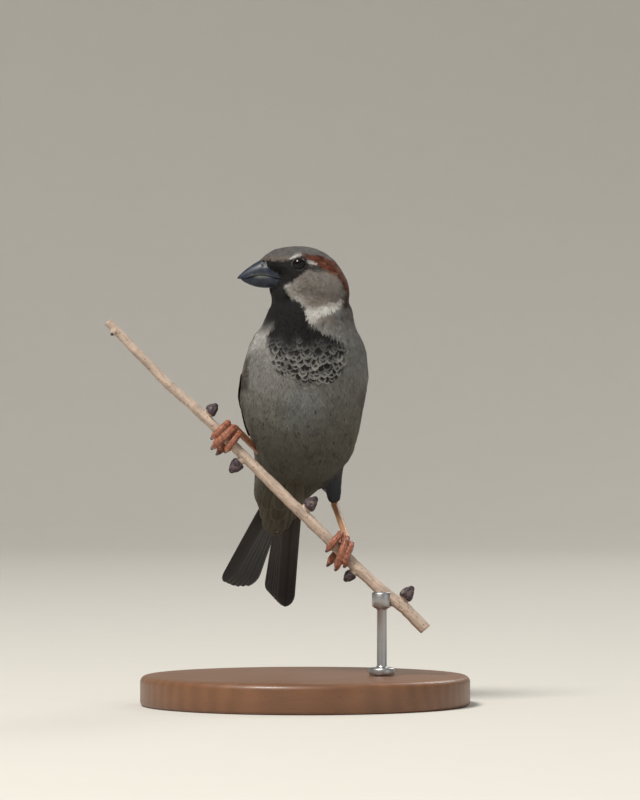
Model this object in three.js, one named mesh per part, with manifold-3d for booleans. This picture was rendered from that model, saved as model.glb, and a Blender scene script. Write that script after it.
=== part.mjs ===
// A male house sparrow on a cut length of twig, life size, held by a small display stand.
// Millimetres. +Z is up, the bird's breast faces -Y, and the origin is the middle of the stand's underside.
import * as THREE from "three";
import { mergeVertices } from "three/addons/utils/BufferGeometryUtils.js";
import Module from "manifold-3d";

const wasm = await Module();
wasm.setup();

// ---- driving dimensions ----
const GAP = 0.3; // clearance between touching pieces
const RIGHT_LEFT = { left: 1, right: -1 }; // the bird's own left is +X

const BODY_YAW = rad(10.5); // the breast is turned a little, so the rump swings to -X
const BODY_SIDES = 20;
const BODY_RINGS = 15;
// Stations of the feathered body from the tail coverts to the head: back, height, half width, half depth,
// and how far the station sits off the body's own middle plane.
const BODY_STATIONS = [
  [36.0, 50.4, 2.8, 2.2, -4.4],
  [31.5, 56.2, 4.7, 4.4, -3.4],
  [26.0, 63.0, 8.0, 7.3, -3.5],
  [19.5, 71.0, 11.5, 12.2, -0.6],
  [12.5, 79.5, 15.9, 16.3, 1.6],
  [5.0, 89.5, 18.5, 18.0, -0.1],
  [-2.0, 99.5, 18.9, 17.4, -0.2],
  [-6.5, 108.5, 17.1, 15.0, -0.3],
  [-8.7, 115.5, 14.0, 12.3, -0.3],
  [-9.8, 122.0, 12.2, 10.6, 0.1],
  [-10.0, 129.0, 10.4, 9.2, 0],
];
const COVERTS_PLANE = [27.5, 61.2]; // where the tail coverts meet the trunk: back, height
const NECK_BOTTOM = 111;
const NECK_TOP = 120;

const HEAD_TURN = rad(80); // from the body's forward direction to the bird's right
const HEAD_CENTRE = [1.5, -10.0, 130.3];
// Stations of the head from nape to bill base: forward, crown, underside, half width.
const HEAD_STATIONS = [
  [-12.2, -3.4, -9.2, 5.6],
  [-10.0, 0.4, -10.6, 8.2],
  [-7.1, 4.6, -11.4, 9.7],
  [-3.0, 7.35, -11.6, 10.2],
  [1.5, 8.5, -11.4, 10.1],
  [6.0, 8.45, -10.4, 9.1],
  [11.0, 7.5, -9.2, 7.3],
  [14.4, 5.2, -4.6, 4.9],
  [15.9, 3.7, -3.2, 2.9],
];
const HEAD_SIDES = 20;
const HEAD_RINGS = 12;

const BILL = {
  base: 11.8,
  tip: 22.1,
  ridge: 5.5,
  keel: -4.2,
  edge: -0.5,
  tipEdge: -1.1,
  halfWidth: 4.2,
  lowerShort: 0.8,
};
const EYE = { forward: 4.6, up: 2.75, lateral: 6.8, radius: 2.35 };

// The closed wings lie on a form like the body's that runs on past the rump.
const WING_STATIONS = [
  [49.5, 41.4, 3.6, 4.4, -2.2],
  [42.8, 48.4, 4.8, 5.8, -1.9],
  [37.0, 54.0, 6.0, 7.0, -1.6],
  [32.0, 58.6, 7.0, 8.6, -1.2],
  [26.0, 63.4, 7.6, 11.0, -0.9],
  [19.5, 71.0, 10.6, 13.6, 0.1],
  ...BODY_STATIONS.slice(4),
];
const WING_CHORD = 77;
const WING_PROUD = 0.7; // the outer face over the body's own surface
const WING_SUNK = { root: 1.1, tip: 0.1 }; // the inner face under it
const WING_SLOPE = rad(52.3); // of the wing's chord below the horizontal
const CARPAL = [-9.0, 107.0]; // the bend of the wing: back, height
// The wing's lower and upper outlines: along the chord, above it.
const WING_BOTTOM = [[-1, 1.0], [8, -0.6], [20, -0.2], [35, 2.8], [50, 5.0], [65, 6.2], [76, 7.0]];
const WING_TOP = [
  [74, 8.8], [62, 10.4], [55, 12.2], [45, 14.2], [31, 17.2], [15, 17.2], [4, 13.0], [-3, 6],
];
const COVERTS_END = 31; // along the chord
const COVERTS_SLANT = 0.35;
const PRIMARY_EDGE = 6.8; // height of the secondaries' lower edge over the chord
const PRIMARY_RISE = 0.06;
const PRIMARY_SHOW = 13; // how far the primaries run past the secondaries

const FEATHER_COUNT = 6; // tail feathers on each side
const FEATHER_THICK = 0.62;
const FEATHER_STEP = 0.22; // each lies this much under the one nearer the middle
// The two halves of the tail: root, slope below the horizontal, turn to the bird's right, length, spread,
// and where the longest feather is from the innermost (0) to the outermost (1). A feather's tip is cut
// back on the side towards the bird's right.
const FANS = {
  left: {
    root: [-3.4, 17.0, 71.4],
    slope: rad(50.5),
    turn: rad(8.8),
    length: 56.5,
    spread: rad(1.2),
    width: 8.4,
    tilt: rad(4),
    longest: 0.9,
    taper: 3,
    cut: 12,
  },
  right: {
    root: [-4.6, 17.8, 72.6],
    slope: rad(43),
    turn: rad(25),
    length: 57.6,
    spread: rad(7.5),
    width: 9.6,
    tilt: rad(-3),
    longest: 0,
    taper: 3.6,
    cut: 2,
  },
};

const TWIG_BACK = -3.0; // the twig's own Y
const TWIG = [
  [-59.7, 116.1], [-56.4, 112.7], [-48.8, 104.8], [-39.4, 95.2], [-33.3, 90.0], [-24.2, 81.1],
  [-13.3, 70.3], [7.8, 49.6], [13.9, 43.6], [20.3, 37.0], [26.4, 32.4], [32.7, 27.3], [36.4, 23.0],
];
const TWIG_RADIUS = { start: 1.38, end: 1.9 };
// Buds: where on the twig as X, above (1) or below (-1) it, distance from its axis, radius.
const BUDS = [
  { x: -57.2, side: -1, out: 1.0, front: 1.0, radius: 1.1 },
  { x: -30.4, side: 1, out: 3.0, front: 0.2, radius: 1.9 },
  { x: -18.2, side: -1, out: 3.7, front: 0.4, radius: 2.1 },
  { x: -1.0, side: 1, out: 3.7, front: 0.3, radius: 2.15 },
  { x: 15.9, side: -1, out: 3.3, front: 0.3, radius: 1.8 },
  { x: 28.6, side: 1, out: 3.8, front: 0.2, radius: 2.15 },
];

// Feet: where the foot's middle is on the twig as X, the ankle, and each toe in the twig's own frame:
// along the twig at root and tip, reach below the twig, in front (1) or behind (-1), half thickness.
const FEET = {
  left: {
    x: 9.7,
    ankle: [9.0, 13.6, 60.6],
    toes: {
      inner: { root: -2.3, tip: -1.6, reach: 3.1, face: 1, thick: 1.0 },
      middle: { root: -0.3, tip: 4.3, reach: 5.3, face: 1, thick: 1.12 },
      outer: { root: 2.1, tip: 5.5, reach: 2.6, face: 1, thick: 1.0 },
      hind: { root: -0.2, tip: 1.7, reach: 6.1, face: -1, thick: 1.12 },
    },
  },
  right: {
    x: -24.3,
    ankle: [-13.0, 9.8, 75.6],
    toes: {
      inner: { root: 2.3, tip: 3.3, reach: 3.2, face: 1, thick: 1.0 },
      middle: { root: 0.0, tip: -0.3, reach: 5.4, face: 1, thick: 1.15 },
      outer: { root: -2.3, tip: -2.5, reach: 3.2, face: 1, thick: 1.0 },
      hind: { root: 0.6, tip: 2.0, reach: 5.6, face: -1, thick: 1.12 },
    },
  },
};
const PAD_OUT = 4.0; // the foot's middle above the twig's axis
const CLAW = { length: 5.0, root: 0.62, tip: 0.26 };
const TARSUS_RADIUS = 0.95;
// The feathered lower thighs: where they leave the body, half thickness there and at the ankle.
const THIGHS = {
  left: { top: [7.0, 9.0, 79.5], topRadius: 6.6, ankleRadius: 2.0 },
  right: { top: [-7.0, 9.5, 81.5], topRadius: 4.6, ankleRadius: 2.1 },
};

const BASE = { radius: 50, height: 9, chamfer: 1.2 };
const ROD = { x: 23.2, radius: 1.5, cupRadius: 3.0, cupHeight: 5.0, collarRadius: 4.0, collarHeight: 2.2 };

// ---- small tools ----
function rad(degrees) {
  return (degrees * Math.PI) / 180;
}

const clamp01 = (t) => Math.min(1, Math.max(0, t));
const mix = (a, b, t) => a + (b - a) * t;

// One column of a station table as a smooth function of t from 0 to 1.
function column(stations, index) {
  const last = stations.length - 1;
  const points = stations.map((station, i) => new THREE.Vector3(i / last, station[index], 0));
  const curve = new THREE.CatmullRomCurve3(points, false, "catmullrom", 0.5);
  return (t) => curve.getPoint(clamp01(t)).y;
}

// 1 along the middle of a form, falling to 0 at its ends as a round nose does.
function rounding(t, startNose, endNose) {
  const start = clamp01(t / startNose);
  const end = clamp01((1 - t) / endNose);
  return Math.sqrt(1 - (1 - start) ** 2) * Math.sqrt(1 - (1 - end) ** 2);
}

// A closed form: the rings of a sphere are laid where place(t, angle) puts them.
function formOf(sides, rings, place) {
  const form = new THREE.SphereGeometry(1, sides, rings);
  const position = form.getAttribute("position");
  const point = new THREE.Vector3();
  for (let i = 0; i < position.count; i++) {
    point.fromBufferAttribute(position, i);
    const t = Math.acos(THREE.MathUtils.clamp(point.y, -1, 1)) / Math.PI;
    const placed = place(t, Math.atan2(point.z, point.x));
    position.setXYZ(i, placed.x, placed.y, placed.z);
  }
  return form;
}

// A round rod along a curve, whose radius changes on the way.
function tapered(curve, radiusAt, sides, steps) {
  const form = new THREE.CylinderGeometry(1, 1, 1, sides, steps);
  const frames = curve.computeFrenetFrames(steps, false);
  const position = form.getAttribute("position");
  const point = new THREE.Vector3();
  for (let i = 0; i < position.count; i++) {
    point.fromBufferAttribute(position, i);
    const step = Math.round((0.5 - point.y) * steps);
    const radius = radiusAt(step / steps);
    const placed = curve.getPointAt(step / steps);
    placed.addScaledVector(frames.normals[step], point.x * radius);
    placed.addScaledVector(frames.binormals[step], point.z * radius);
    position.setXYZ(i, placed.x, placed.y, placed.z);
  }
  return form;
}

function bareOf(geometry) {
  const bare = geometry.clone();
  bare.deleteAttribute("normal");
  bare.deleteAttribute("uv");
  return mergeVertices(bare, 1e-4);
}

function solidOf(geometry) {
  const merged = bareOf(geometry);
  const triVerts = Uint32Array.from(merged.index.array);
  const vertProperties = Float32Array.from(merged.getAttribute("position").array);
  const made = new wasm.Manifold(new wasm.Mesh({ numProp: 3, vertProperties, triVerts }));
  if (made.volume() > 0) return made;
  for (let i = 0; i < triVerts.length; i += 3) {
    [triVerts[i], triVerts[i + 1]] = [triVerts[i + 1], triVerts[i]];
  }
  return new wasm.Manifold(new wasm.Mesh({ numProp: 3, vertProperties, triVerts }));
}

// The same solid with its skin pushed out by a distance, to cut clearance for it in a neighbour.
function grownSolid(geometry, distance) {
  const merged = bareOf(geometryOf(solidOf(geometry)));
  merged.computeVertexNormals();
  const position = merged.getAttribute("position");
  const normal = merged.getAttribute("normal");
  for (let i = 0; i < position.count; i++) {
    position.setXYZ(
      i,
      position.getX(i) + normal.getX(i) * distance,
      position.getY(i) + normal.getY(i) * distance,
      position.getZ(i) + normal.getZ(i) * distance,
    );
  }
  return solidOf(merged);
}

function geometryOf(solid) {
  const mesh = solid.getMesh();
  const geometry = new THREE.BufferGeometry();
  geometry.setAttribute("position", new THREE.BufferAttribute(Float32Array.from(mesh.vertProperties), 3));
  geometry.setIndex(new THREE.BufferAttribute(Uint32Array.from(mesh.triVerts), 1));
  const faceted = geometry.toNonIndexed();
  faceted.computeVertexNormals();
  return faceted;
}

const yawed = (geometry) => geometry.applyMatrix4(new THREE.Matrix4().makeRotationZ(BODY_YAW));

// The space above a level, or past a sloping plane through a point, as a big block.
const BLOCK = 400;
function blockBeyond(point, direction) {
  const block = new THREE.BoxGeometry(BLOCK, BLOCK, BLOCK).translate(0, 0, BLOCK / 2);
  const towards = direction.clone().normalize();
  block.applyQuaternion(new THREE.Quaternion().setFromUnitVectors(new THREE.Vector3(0, 0, 1), towards));
  return solidOf(block.translate(point.x, point.y, point.z));
}

// ---- body ----
// The body's form; grow is a distance, or a function of t, that its surface moves out by.
function bodyForm(stations, grow, startNose) {
  const columns = [0, 1, 2, 3, 4].map((index) => column(stations, index));
  const [back, height, halfWidth, halfDepth, shift] = columns;
  const growAt = typeof grow === "function" ? grow : () => grow;
  const step = 1e-3;
  const endNose = 0.12;
  return yawed(
    formOf(BODY_SIDES, BODY_RINGS, (t, angle) => {
      const before = Math.max(0, t - step);
      const after = Math.min(1, t + step);
      const along = new THREE.Vector2(back(after) - back(before), height(after) - height(before));
      along.normalize();
      const round = rounding(t, startNose, endNose);
      const across = (halfWidth(t) + growAt(t)) * round * Math.cos(angle);
      const depth = (halfDepth(t) + growAt(t)) * round * Math.sin(angle);
      return new THREE.Vector3(shift(t) + across, back(t) + along.y * depth, height(t) - along.x * depth);
    }),
  );
}

// ---- head ----
const headForward = new THREE.Vector3(-Math.sin(HEAD_TURN), -Math.cos(HEAD_TURN), 0);
const headLeft = new THREE.Vector3(-headForward.y, headForward.x, 0);

function headPoint(forward, lateral, up) {
  return new THREE.Vector3(...HEAD_CENTRE)
    .addScaledVector(headForward, forward)
    .addScaledVector(headLeft, lateral)
    .add(new THREE.Vector3(0, 0, up));
}

function headForm() {
  const [forward, crown, underside, halfWidth] = [0, 1, 2, 3].map((index) => column(HEAD_STATIONS, index));
  const crownNarrowing = 0.1;
  return formOf(HEAD_SIDES, HEAD_RINGS, (t, angle) => {
    const round = rounding(t, 0.12, 0.08);
    const middle = (crown(t) + underside(t)) / 2;
    const halfHeight = ((crown(t) - underside(t)) / 2) * round;
    const lateral = halfWidth(t) * round * Math.cos(angle) * (1 - crownNarrowing * Math.sin(angle));
    return headPoint(forward(t), lateral, middle + halfHeight * Math.sin(angle));
  });
}

// One mandible of the stout bill: its ridge or keel bends to the tip, and its edge is nearly level.
function billForm(upper) {
  const hand = upper ? 1 : -1;
  const tip = upper ? BILL.tip : BILL.tip - BILL.lowerShort;
  const reach = upper ? BILL.ridge - BILL.edge : BILL.keel - BILL.edge;
  const halfWidth = upper ? BILL.halfWidth : BILL.halfWidth * 0.93;
  const fall = (t) => (upper ? (1 - t) ** 0.4 : 1 - 0.33 * t ** 3);
  return formOf(12, 7, (t, angle) => {
    const nose = rounding(t, 0.06, 1);
    const lateral = halfWidth * nose * (1 - t) ** 0.4 * Math.cos(angle);
    const lift = reach * nose * fall(t) * Math.max(0, hand * Math.sin(angle));
    const edge = mix(BILL.edge, BILL.tipEdge, t) + (hand * GAP) / 2;
    return headPoint(mix(BILL.base, tip, t), lateral, edge + lift);
  });
}

function eyeForm(side) {
  const centre = headPoint(EYE.forward, RIGHT_LEFT[side] * EYE.lateral, EYE.up);
  return new THREE.SphereGeometry(EYE.radius, 10, 7).translate(centre.x, centre.y, centre.z);
}

// ---- wings ----
// A prism to one side of the bird, from its middle outwards, whose shape is drawn along and above
// the wing's chord.
function chordPrism(shape, side, inner = GAP / 2) {
  const form = new THREE.ExtrudeGeometry(shape, { depth: 60, bevelEnabled: false, curveSegments: 2 });
  const position = form.getAttribute("position");
  for (let i = 0; i < position.count; i++) {
    const along = position.getX(i);
    const up = position.getY(i);
    const across = RIGHT_LEFT[side] * (inner + position.getZ(i));
    const back = CARPAL[0] + along * Math.cos(WING_SLOPE) + up * Math.sin(WING_SLOPE);
    const height = CARPAL[1] - along * Math.sin(WING_SLOPE) + up * Math.cos(WING_SLOPE);
    position.setXYZ(i, across, back, height);
  }
  return solidOf(yawed(form));
}

function wingOutline(grow) {
  const shape = new THREE.Shape();
  const bottom = WING_BOTTOM.map(([along, up]) => new THREE.Vector2(along, up - grow));
  const top = WING_TOP.map(([along, up]) => new THREE.Vector2(along, up + grow));
  bottom[0].x -= 2 * grow;
  top.at(-1).x -= 2 * grow;
  shape.moveTo(bottom[0].x, bottom[0].y);
  shape.splineThru(bottom.slice(1));
  shape.lineTo(WING_CHORD + grow, (bottom.at(-1).y + top[0].y) / 2);
  shape.lineTo(top[0].x, top[0].y);
  shape.splineThru(top.slice(1));
  shape.closePath();
  return shape;
}

// The wing's three regions, drawn along and above the chord, a gap apart.
function wingRegion(name) {
  const far = 100;
  const half = GAP / 2;
  const covertsEnd = (up) => COVERTS_END + COVERTS_SLANT * up;
  const primaryEdge = (along) => PRIMARY_EDGE + (along - COVERTS_END) * PRIMARY_RISE;
  const corner = [covertsEnd(PRIMARY_EDGE), PRIMARY_EDGE];
  const tip = [WING_CHORD - PRIMARY_SHOW, primaryEdge(WING_CHORD - PRIMARY_SHOW)];
  const shapes = {
    coverts: [[-far, -far], [covertsEnd(-far) - half, -far], [covertsEnd(far) - half, far], [-far, far]],
    secondaries: [
      [corner[0] + half, corner[1] + half],
      [tip[0] - half, tip[1] + half],
      [tip[0] + 4 - half, far],
      [covertsEnd(far) + half, far],
    ],
    primaries: [
      [covertsEnd(-far) + half, -far],
      [far, -far],
      [far, far],
      [tip[0] + 4 + half, far],
      [tip[0] + half, tip[1] - half],
      [corner[0] + half, corner[1] - half],
    ],
  };
  return new THREE.Shape(shapes[name].map(([along, up]) => new THREE.Vector2(along, up)));
}

const wingInner = (t) => -mix(WING_SUNK.tip, WING_SUNK.root, clamp01(t / 0.45));
const wingNose = 0.05;

function wingSolid(side) {
  const outer = solidOf(bodyForm(WING_STATIONS, WING_PROUD, wingNose));
  const inner = solidOf(bodyForm(WING_STATIONS, wingInner, wingNose));
  return outer.subtract(inner).intersect(chordPrism(wingOutline(0), side));
}

// What the closed wing needs cut away from the body under it.
function wingBed(side) {
  const inner = solidOf(bodyForm(WING_STATIONS, (t) => wingInner(t) - GAP, wingNose));
  return chordPrism(wingOutline(GAP), side, -GAP / 2).subtract(inner);
}

// ---- tail ----
// A tail feather's outline, from a narrow root to its tip, which one side reaches less far than the other.
function featherShape(length, width, cut) {
  const shape = new THREE.Shape();
  const half = width / 2;
  shape.moveTo(-half * 0.45, 0);
  shape.lineTo(half * 0.45, 0);
  shape.lineTo(half, length * 0.55);
  shape.lineTo(half, length - width * 0.3);
  shape.quadraticCurveTo(half * 0.95, length, half * 0.35, length);
  shape.quadraticCurveTo(-half * 0.6, length - cut * 0.25, -half, length - cut);
  shape.lineTo(-half, length * 0.55);
  shape.closePath();
  return shape;
}

// A plate laid in the plane of one half of the tail; its shape runs across, and along from the root.
function laidInFan(form, side) {
  const fan = FANS[side];
  const across = new THREE.Vector3(Math.cos(fan.turn), Math.sin(fan.turn), 0);
  const along = new THREE.Vector3(-across.y, across.x, 0).multiplyScalar(Math.cos(fan.slope));
  along.z = -Math.sin(fan.slope);
  const upper = new THREE.Vector3().crossVectors(across, along);
  form.rotateY(fan.tilt);
  form.applyMatrix4(new THREE.Matrix4().makeBasis(across, along, upper));
  return form.translate(...fan.root);
}

// The feathers of one half of the tail, from the innermost and uppermost out.
function fanForms(side) {
  const fan = FANS[side];
  const hand = RIGHT_LEFT[side];
  return Array.from({ length: FEATHER_COUNT }, (_, i) => {
    const outward = i / (FEATHER_COUNT - 1);
    const shorter = fan.taper * Math.abs(outward - fan.longest);
    const form = new THREE.ExtrudeGeometry(featherShape(fan.length - shorter, fan.width, fan.cut), {
      depth: FEATHER_THICK,
      bevelEnabled: false,
      curveSegments: 2,
    });
    form.translate(0, 0, -FEATHER_STEP * i);
    form.rotateZ(-hand * fan.spread * (outward - 0.5));
    return laidInFan(form, side);
  });
}

// The clearance that half of the tail needs in its neighbours, as one plate.
function fanRoomSolid(side) {
  const fan = FANS[side];
  const thick = FEATHER_THICK + FEATHER_STEP * (FEATHER_COUNT - 1) + 2 * GAP;
  const rootHalf = fan.width * 0.23 + 2 * GAP;
  const half = fan.width / 2 + fan.length * Math.sin(fan.spread / 2) + GAP;
  const outline = [[-rootHalf, -GAP], [rootHalf, -GAP], [half, fan.length * 0.5], [half, fan.length + GAP]];
  const mirrored = [[-half, fan.length + GAP], [-half, fan.length * 0.5]];
  const shape = new THREE.Shape([...outline, ...mirrored].map(([x, y]) => new THREE.Vector2(x, y)));
  const form = new THREE.ExtrudeGeometry(shape, { depth: thick, bevelEnabled: false });
  return solidOf(laidInFan(form.translate(0, 0, FEATHER_THICK + GAP - thick), side));
}

// ---- twig and feet ----
const twigPoints = TWIG.map(([x, z]) => new THREE.Vector3(x, TWIG_BACK, z));
const twigCurve = new THREE.CatmullRomCurve3(twigPoints, false, "catmullrom", 0.5);
const twigRadius = (t) => mix(TWIG_RADIUS.start, TWIG_RADIUS.end, t);
const front = new THREE.Vector3(0, -1, 0);

// Where the twig passes a given X: its place there, its direction, and across it upwards.
function twigAt(x) {
  let low = 0;
  let high = 1;
  while (high - low > 1e-5) {
    const middle = (low + high) / 2;
    if (twigCurve.getPointAt(middle).x < x) low = middle;
    else high = middle;
  }
  const along = twigCurve.getTangentAt(low);
  return { t: low, place: twigCurve.getPointAt(low), along, up: new THREE.Vector3(-along.z, 0, along.x) };
}

function onTwig(frame, along, up, forward) {
  const place = frame.place.clone().addScaledVector(frame.along, along);
  return place.addScaledVector(frame.up, up).addScaledVector(front, forward);
}

function budForm(bud) {
  const frame = twigAt(bud.x);
  const centre = onTwig(frame, 0, bud.side * bud.out, bud.front);
  return formOf(6, 4, (t, angle) => {
    const lump = 1 + 0.12 * Math.cos(3 * angle + 4 * t);
    const ring = Math.sin(t * Math.PI) * bud.radius * lump;
    const up = -Math.cos(t * Math.PI) * bud.radius * 1.05;
    return onTwig(frame, ring * Math.cos(angle), up, ring * Math.sin(angle)).sub(frame.place).add(centre);
  });
}

function budStalk(bud) {
  const frame = twigAt(bud.x);
  const end = onTwig(frame, 0, bud.side * bud.out, bud.front);
  return tapered(new THREE.LineCurve3(onTwig(frame, 0, 0, 0), end), () => bud.radius * 0.55, 5, 1);
}

function perchSolid() {
  let perch = solidOf(tapered(twigCurve, twigRadius, 8, 15));
  for (const bud of BUDS) perch = perch.add(solidOf(budForm(bud))).add(solidOf(budStalk(bud)));
  return perch;
}

function grownPerch() {
  let perch = grownSolid(tapered(twigCurve, twigRadius, 8, 15), GAP);
  for (const bud of BUDS) perch = perch.add(grownSolid(budForm(bud), GAP));
  return perch;
}

// A toe bends over the twig and hangs past it.
function toeForm(frame, toe) {
  const clear = twigRadius(frame.t) + toe.thick + GAP;
  const tipUp = -toe.reach + toe.thick * 0.6;
  const tipOut = Math.max(0.46 * clear, Math.sqrt(Math.max(0, clear ** 2 - tipUp ** 2)));
  const places = [
    [0, PAD_OUT - 0.2, 0.25 * clear],
    [0.2, PAD_OUT * 0.72, 0.74 * clear],
    [0.45, 0.3, clear],
    [0.75, -toe.reach * 0.5, 0.92 * clear],
    [1, tipUp, tipOut],
  ];
  const curve = new THREE.CatmullRomCurve3(
    places.map(([share, up, out]) => onTwig(frame, mix(toe.root, toe.tip, share), up, toe.face * out)),
  );
  const joints = 5;
  const radiusAt = (t) => {
    const pad = 0.95 + 0.08 * Math.cos(t * Math.PI * joints);
    return toe.thick * pad * (t > 0.99 ? 0.62 : 1);
  };
  return tapered(curve, radiusAt, 6, 6);
}

// A claw curls from the toe's tip in under the twig.
function clawForm(frame, toe) {
  const clear = twigRadius(frame.t) + GAP + CLAW.root;
  const tipUp = -toe.reach + toe.thick * 0.6;
  const past = clear + toe.thick - CLAW.root;
  const tipOut = Math.max(0.46 * past, Math.sqrt(Math.max(0, past ** 2 - tipUp ** 2)));
  const below = Math.min(tipUp - 0.5, -clear);
  const curve = new THREE.CatmullRomCurve3([
    onTwig(frame, toe.tip, tipUp + 0.2, toe.face * (tipOut - 0.1)),
    onTwig(frame, toe.tip, below, toe.face * Math.min(tipOut - 0.8, 0.6)),
    onTwig(frame, toe.tip, below + 0.2, toe.face * -0.2 * CLAW.length),
    onTwig(frame, toe.tip, below + 1.0, toe.face * -0.42 * CLAW.length),
  ]);
  return tapered(curve, (t) => mix(CLAW.root, CLAW.tip, t), 5, 3);
}

function tarsusForm(side) {
  const foot = FEET[side];
  const frame = twigAt(foot.x);
  const pad = onTwig(frame, 0, PAD_OUT, 0);
  const ankle = new THREE.Vector3(...foot.ankle);
  const curve = new THREE.CatmullRomCurve3([
    onTwig(frame, 0, PAD_OUT - 0.4, 0.9),
    pad.clone().lerp(ankle, 0.08),
    pad.clone().lerp(ankle, 0.5),
    ankle,
  ]);
  const padFlare = (t) => 0.5 * Math.exp(-((t / 0.1) ** 2));
  const ankleFlare = (t) => 0.25 * Math.exp(-(((1 - t) / 0.12) ** 2));
  return tapered(curve, (t) => TARSUS_RADIUS * (1 + padFlare(t) + ankleFlare(t)), 6, 9);
}

function thighForm(side) {
  const thigh = THIGHS[side];
  const top = new THREE.Vector3(...thigh.top);
  const ankle = new THREE.Vector3(...FEET[side].ankle);
  const low = ankle.clone().add(ankle.clone().sub(top).normalize().multiplyScalar(1.4));
  const along = low.clone().sub(top);
  const across = new THREE.Vector3(0, 1, 0).cross(along).normalize();
  const through = new THREE.Vector3().crossVectors(along, across).normalize();
  return formOf(9, 7, (t, angle) => {
    const radius = mix(thigh.ankleRadius, thigh.topRadius, (1 - t) ** 1.6) * rounding(t, 0.2, 0.16);
    return top
      .clone()
      .addScaledVector(along, t)
      .addScaledVector(across, radius * Math.cos(angle))
      .addScaledVector(through, 1.15 * radius * Math.sin(angle));
  });
}

// ---- stand ----
// A solid of revolution about an upright axis, from its radii and heights.
function turned(profile, sides) {
  const points = profile.map(([x, y]) => new THREE.Vector2(x, y));
  return new THREE.LatheGeometry(points, sides).rotateX(Math.PI / 2);
}

function baseForm() {
  const { radius, height, chamfer } = BASE;
  const profile = [
    [0, 0],
    [radius, 0],
    [radius, height - chamfer],
    [radius - chamfer, height],
    [0, height],
  ];
  return turned(profile, 32);
}

function rodForm() {
  const foot = BASE.height + GAP;
  const top = twigAt(ROD.x).place.z;
  const shoulder = top - ROD.cupHeight;
  const profile = [
    [0, foot],
    [ROD.collarRadius, foot],
    [ROD.collarRadius, foot + ROD.collarHeight],
    [ROD.radius, foot + ROD.collarHeight],
    [ROD.radius, shoulder - 1.5],
    [ROD.cupRadius, shoulder],
    [ROD.cupRadius, top],
    [0, top],
  ];
  return turned(profile, 12).translate(ROD.x, TWIG_BACK, 0);
}

// ---- assembly ----
const MATERIALS = {
  plumage: { color: 0x6d6a63, roughness: 0.9 },
  crown: { color: 0x6b6a64, roughness: 0.9 },
  wing: { color: 0x6e4a33, roughness: 0.85 },
  flight: { color: 0x33302d, roughness: 0.75 },
  bill: { color: 0x20242b, roughness: 0.35 },
  eye: { color: 0x120b08, roughness: 0.08 },
  leg: { color: 0xa8623f, roughness: 0.5 },
  claw: { color: 0x1d1a19, roughness: 0.45 },
  bark: { color: 0xa08d7e, roughness: 0.8 },
  wood: { color: 0x5a3d28, roughness: 0.45 },
  steel: { color: 0x9a9c9e, roughness: 0.35, metalness: 1 },
};

const group = new THREE.Group();

function addNode(name, solid, material) {
  const mesh = new THREE.Mesh(geometryOf(solid), new THREE.MeshStandardMaterial(MATERIALS[material]));
  mesh.name = name;
  group.add(mesh);
}

const SIDES = ["left", "right"];
const perch = perchSolid();
const perchRoom = grownPerch();

const fans = {};
const fanRoom = {};
for (const side of SIDES) {
  const forms = fanForms(side);
  fans[side] = forms.map(solidOf).reduce((joined, feather) => joined.add(feather));
  fanRoom[side] = fanRoomSolid(side);
}
fans.left = fans.left.subtract(fanRoom.right);

const legForms = {};
for (const side of SIDES) legForms[side] = { tarsus: tarsusForm(side), thigh: thighForm(side) };

// The plumage is one form, cut at the throat, the shoulders and the rump.
const headSolid = solidOf(headForm());
const bills = { upper: billForm(true), lower: billForm(false) };
const eyes = { left: eyeForm("left"), right: eyeForm("right") };
let plumage = solidOf(bodyForm(BODY_STATIONS, 0, 0.1)).add(headSolid);
for (const form of [...Object.values(bills), ...Object.values(eyes)]) {
  plumage = plumage.subtract(grownSolid(form, GAP));
}
for (const side of SIDES) {
  plumage = plumage.subtract(wingBed(side)).subtract(fanRoom[side]);
  for (const form of Object.values(legForms[side])) plumage = plumage.subtract(grownSolid(form, GAP));
}
const upwards = new THREE.Vector3(0, 0, 1);
const overLevel = (z) => blockBeyond(new THREE.Vector3(0, 0, z), upwards);
const rumpPoint = new THREE.Vector3(0, ...COVERTS_PLANE).applyAxisAngle(upwards, BODY_YAW);
const rumpDirection = new THREE.Vector3(0, Math.cos(WING_SLOPE), -Math.sin(WING_SLOPE));
rumpDirection.applyAxisAngle(upwards, BODY_YAW);
const behindRump = blockBeyond(rumpPoint, rumpDirection);
const behindRumpGap = blockBeyond(rumpPoint.clone().addScaledVector(rumpDirection, -GAP), rumpDirection);

addNode("head", plumage.intersect(overLevel(NECK_TOP + GAP)), "crown");
addNode("neck", plumage.intersect(overLevel(NECK_BOTTOM + GAP)).subtract(overLevel(NECK_TOP)), "plumage");
addNode("trunk", plumage.subtract(overLevel(NECK_BOTTOM)).subtract(behindRumpGap), "plumage");
addNode("tail_coverts", plumage.intersect(behindRump), "plumage");
addNode("bill_upper", solidOf(bills.upper), "bill");
addNode("bill_lower", solidOf(bills.lower), "bill");

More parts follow.
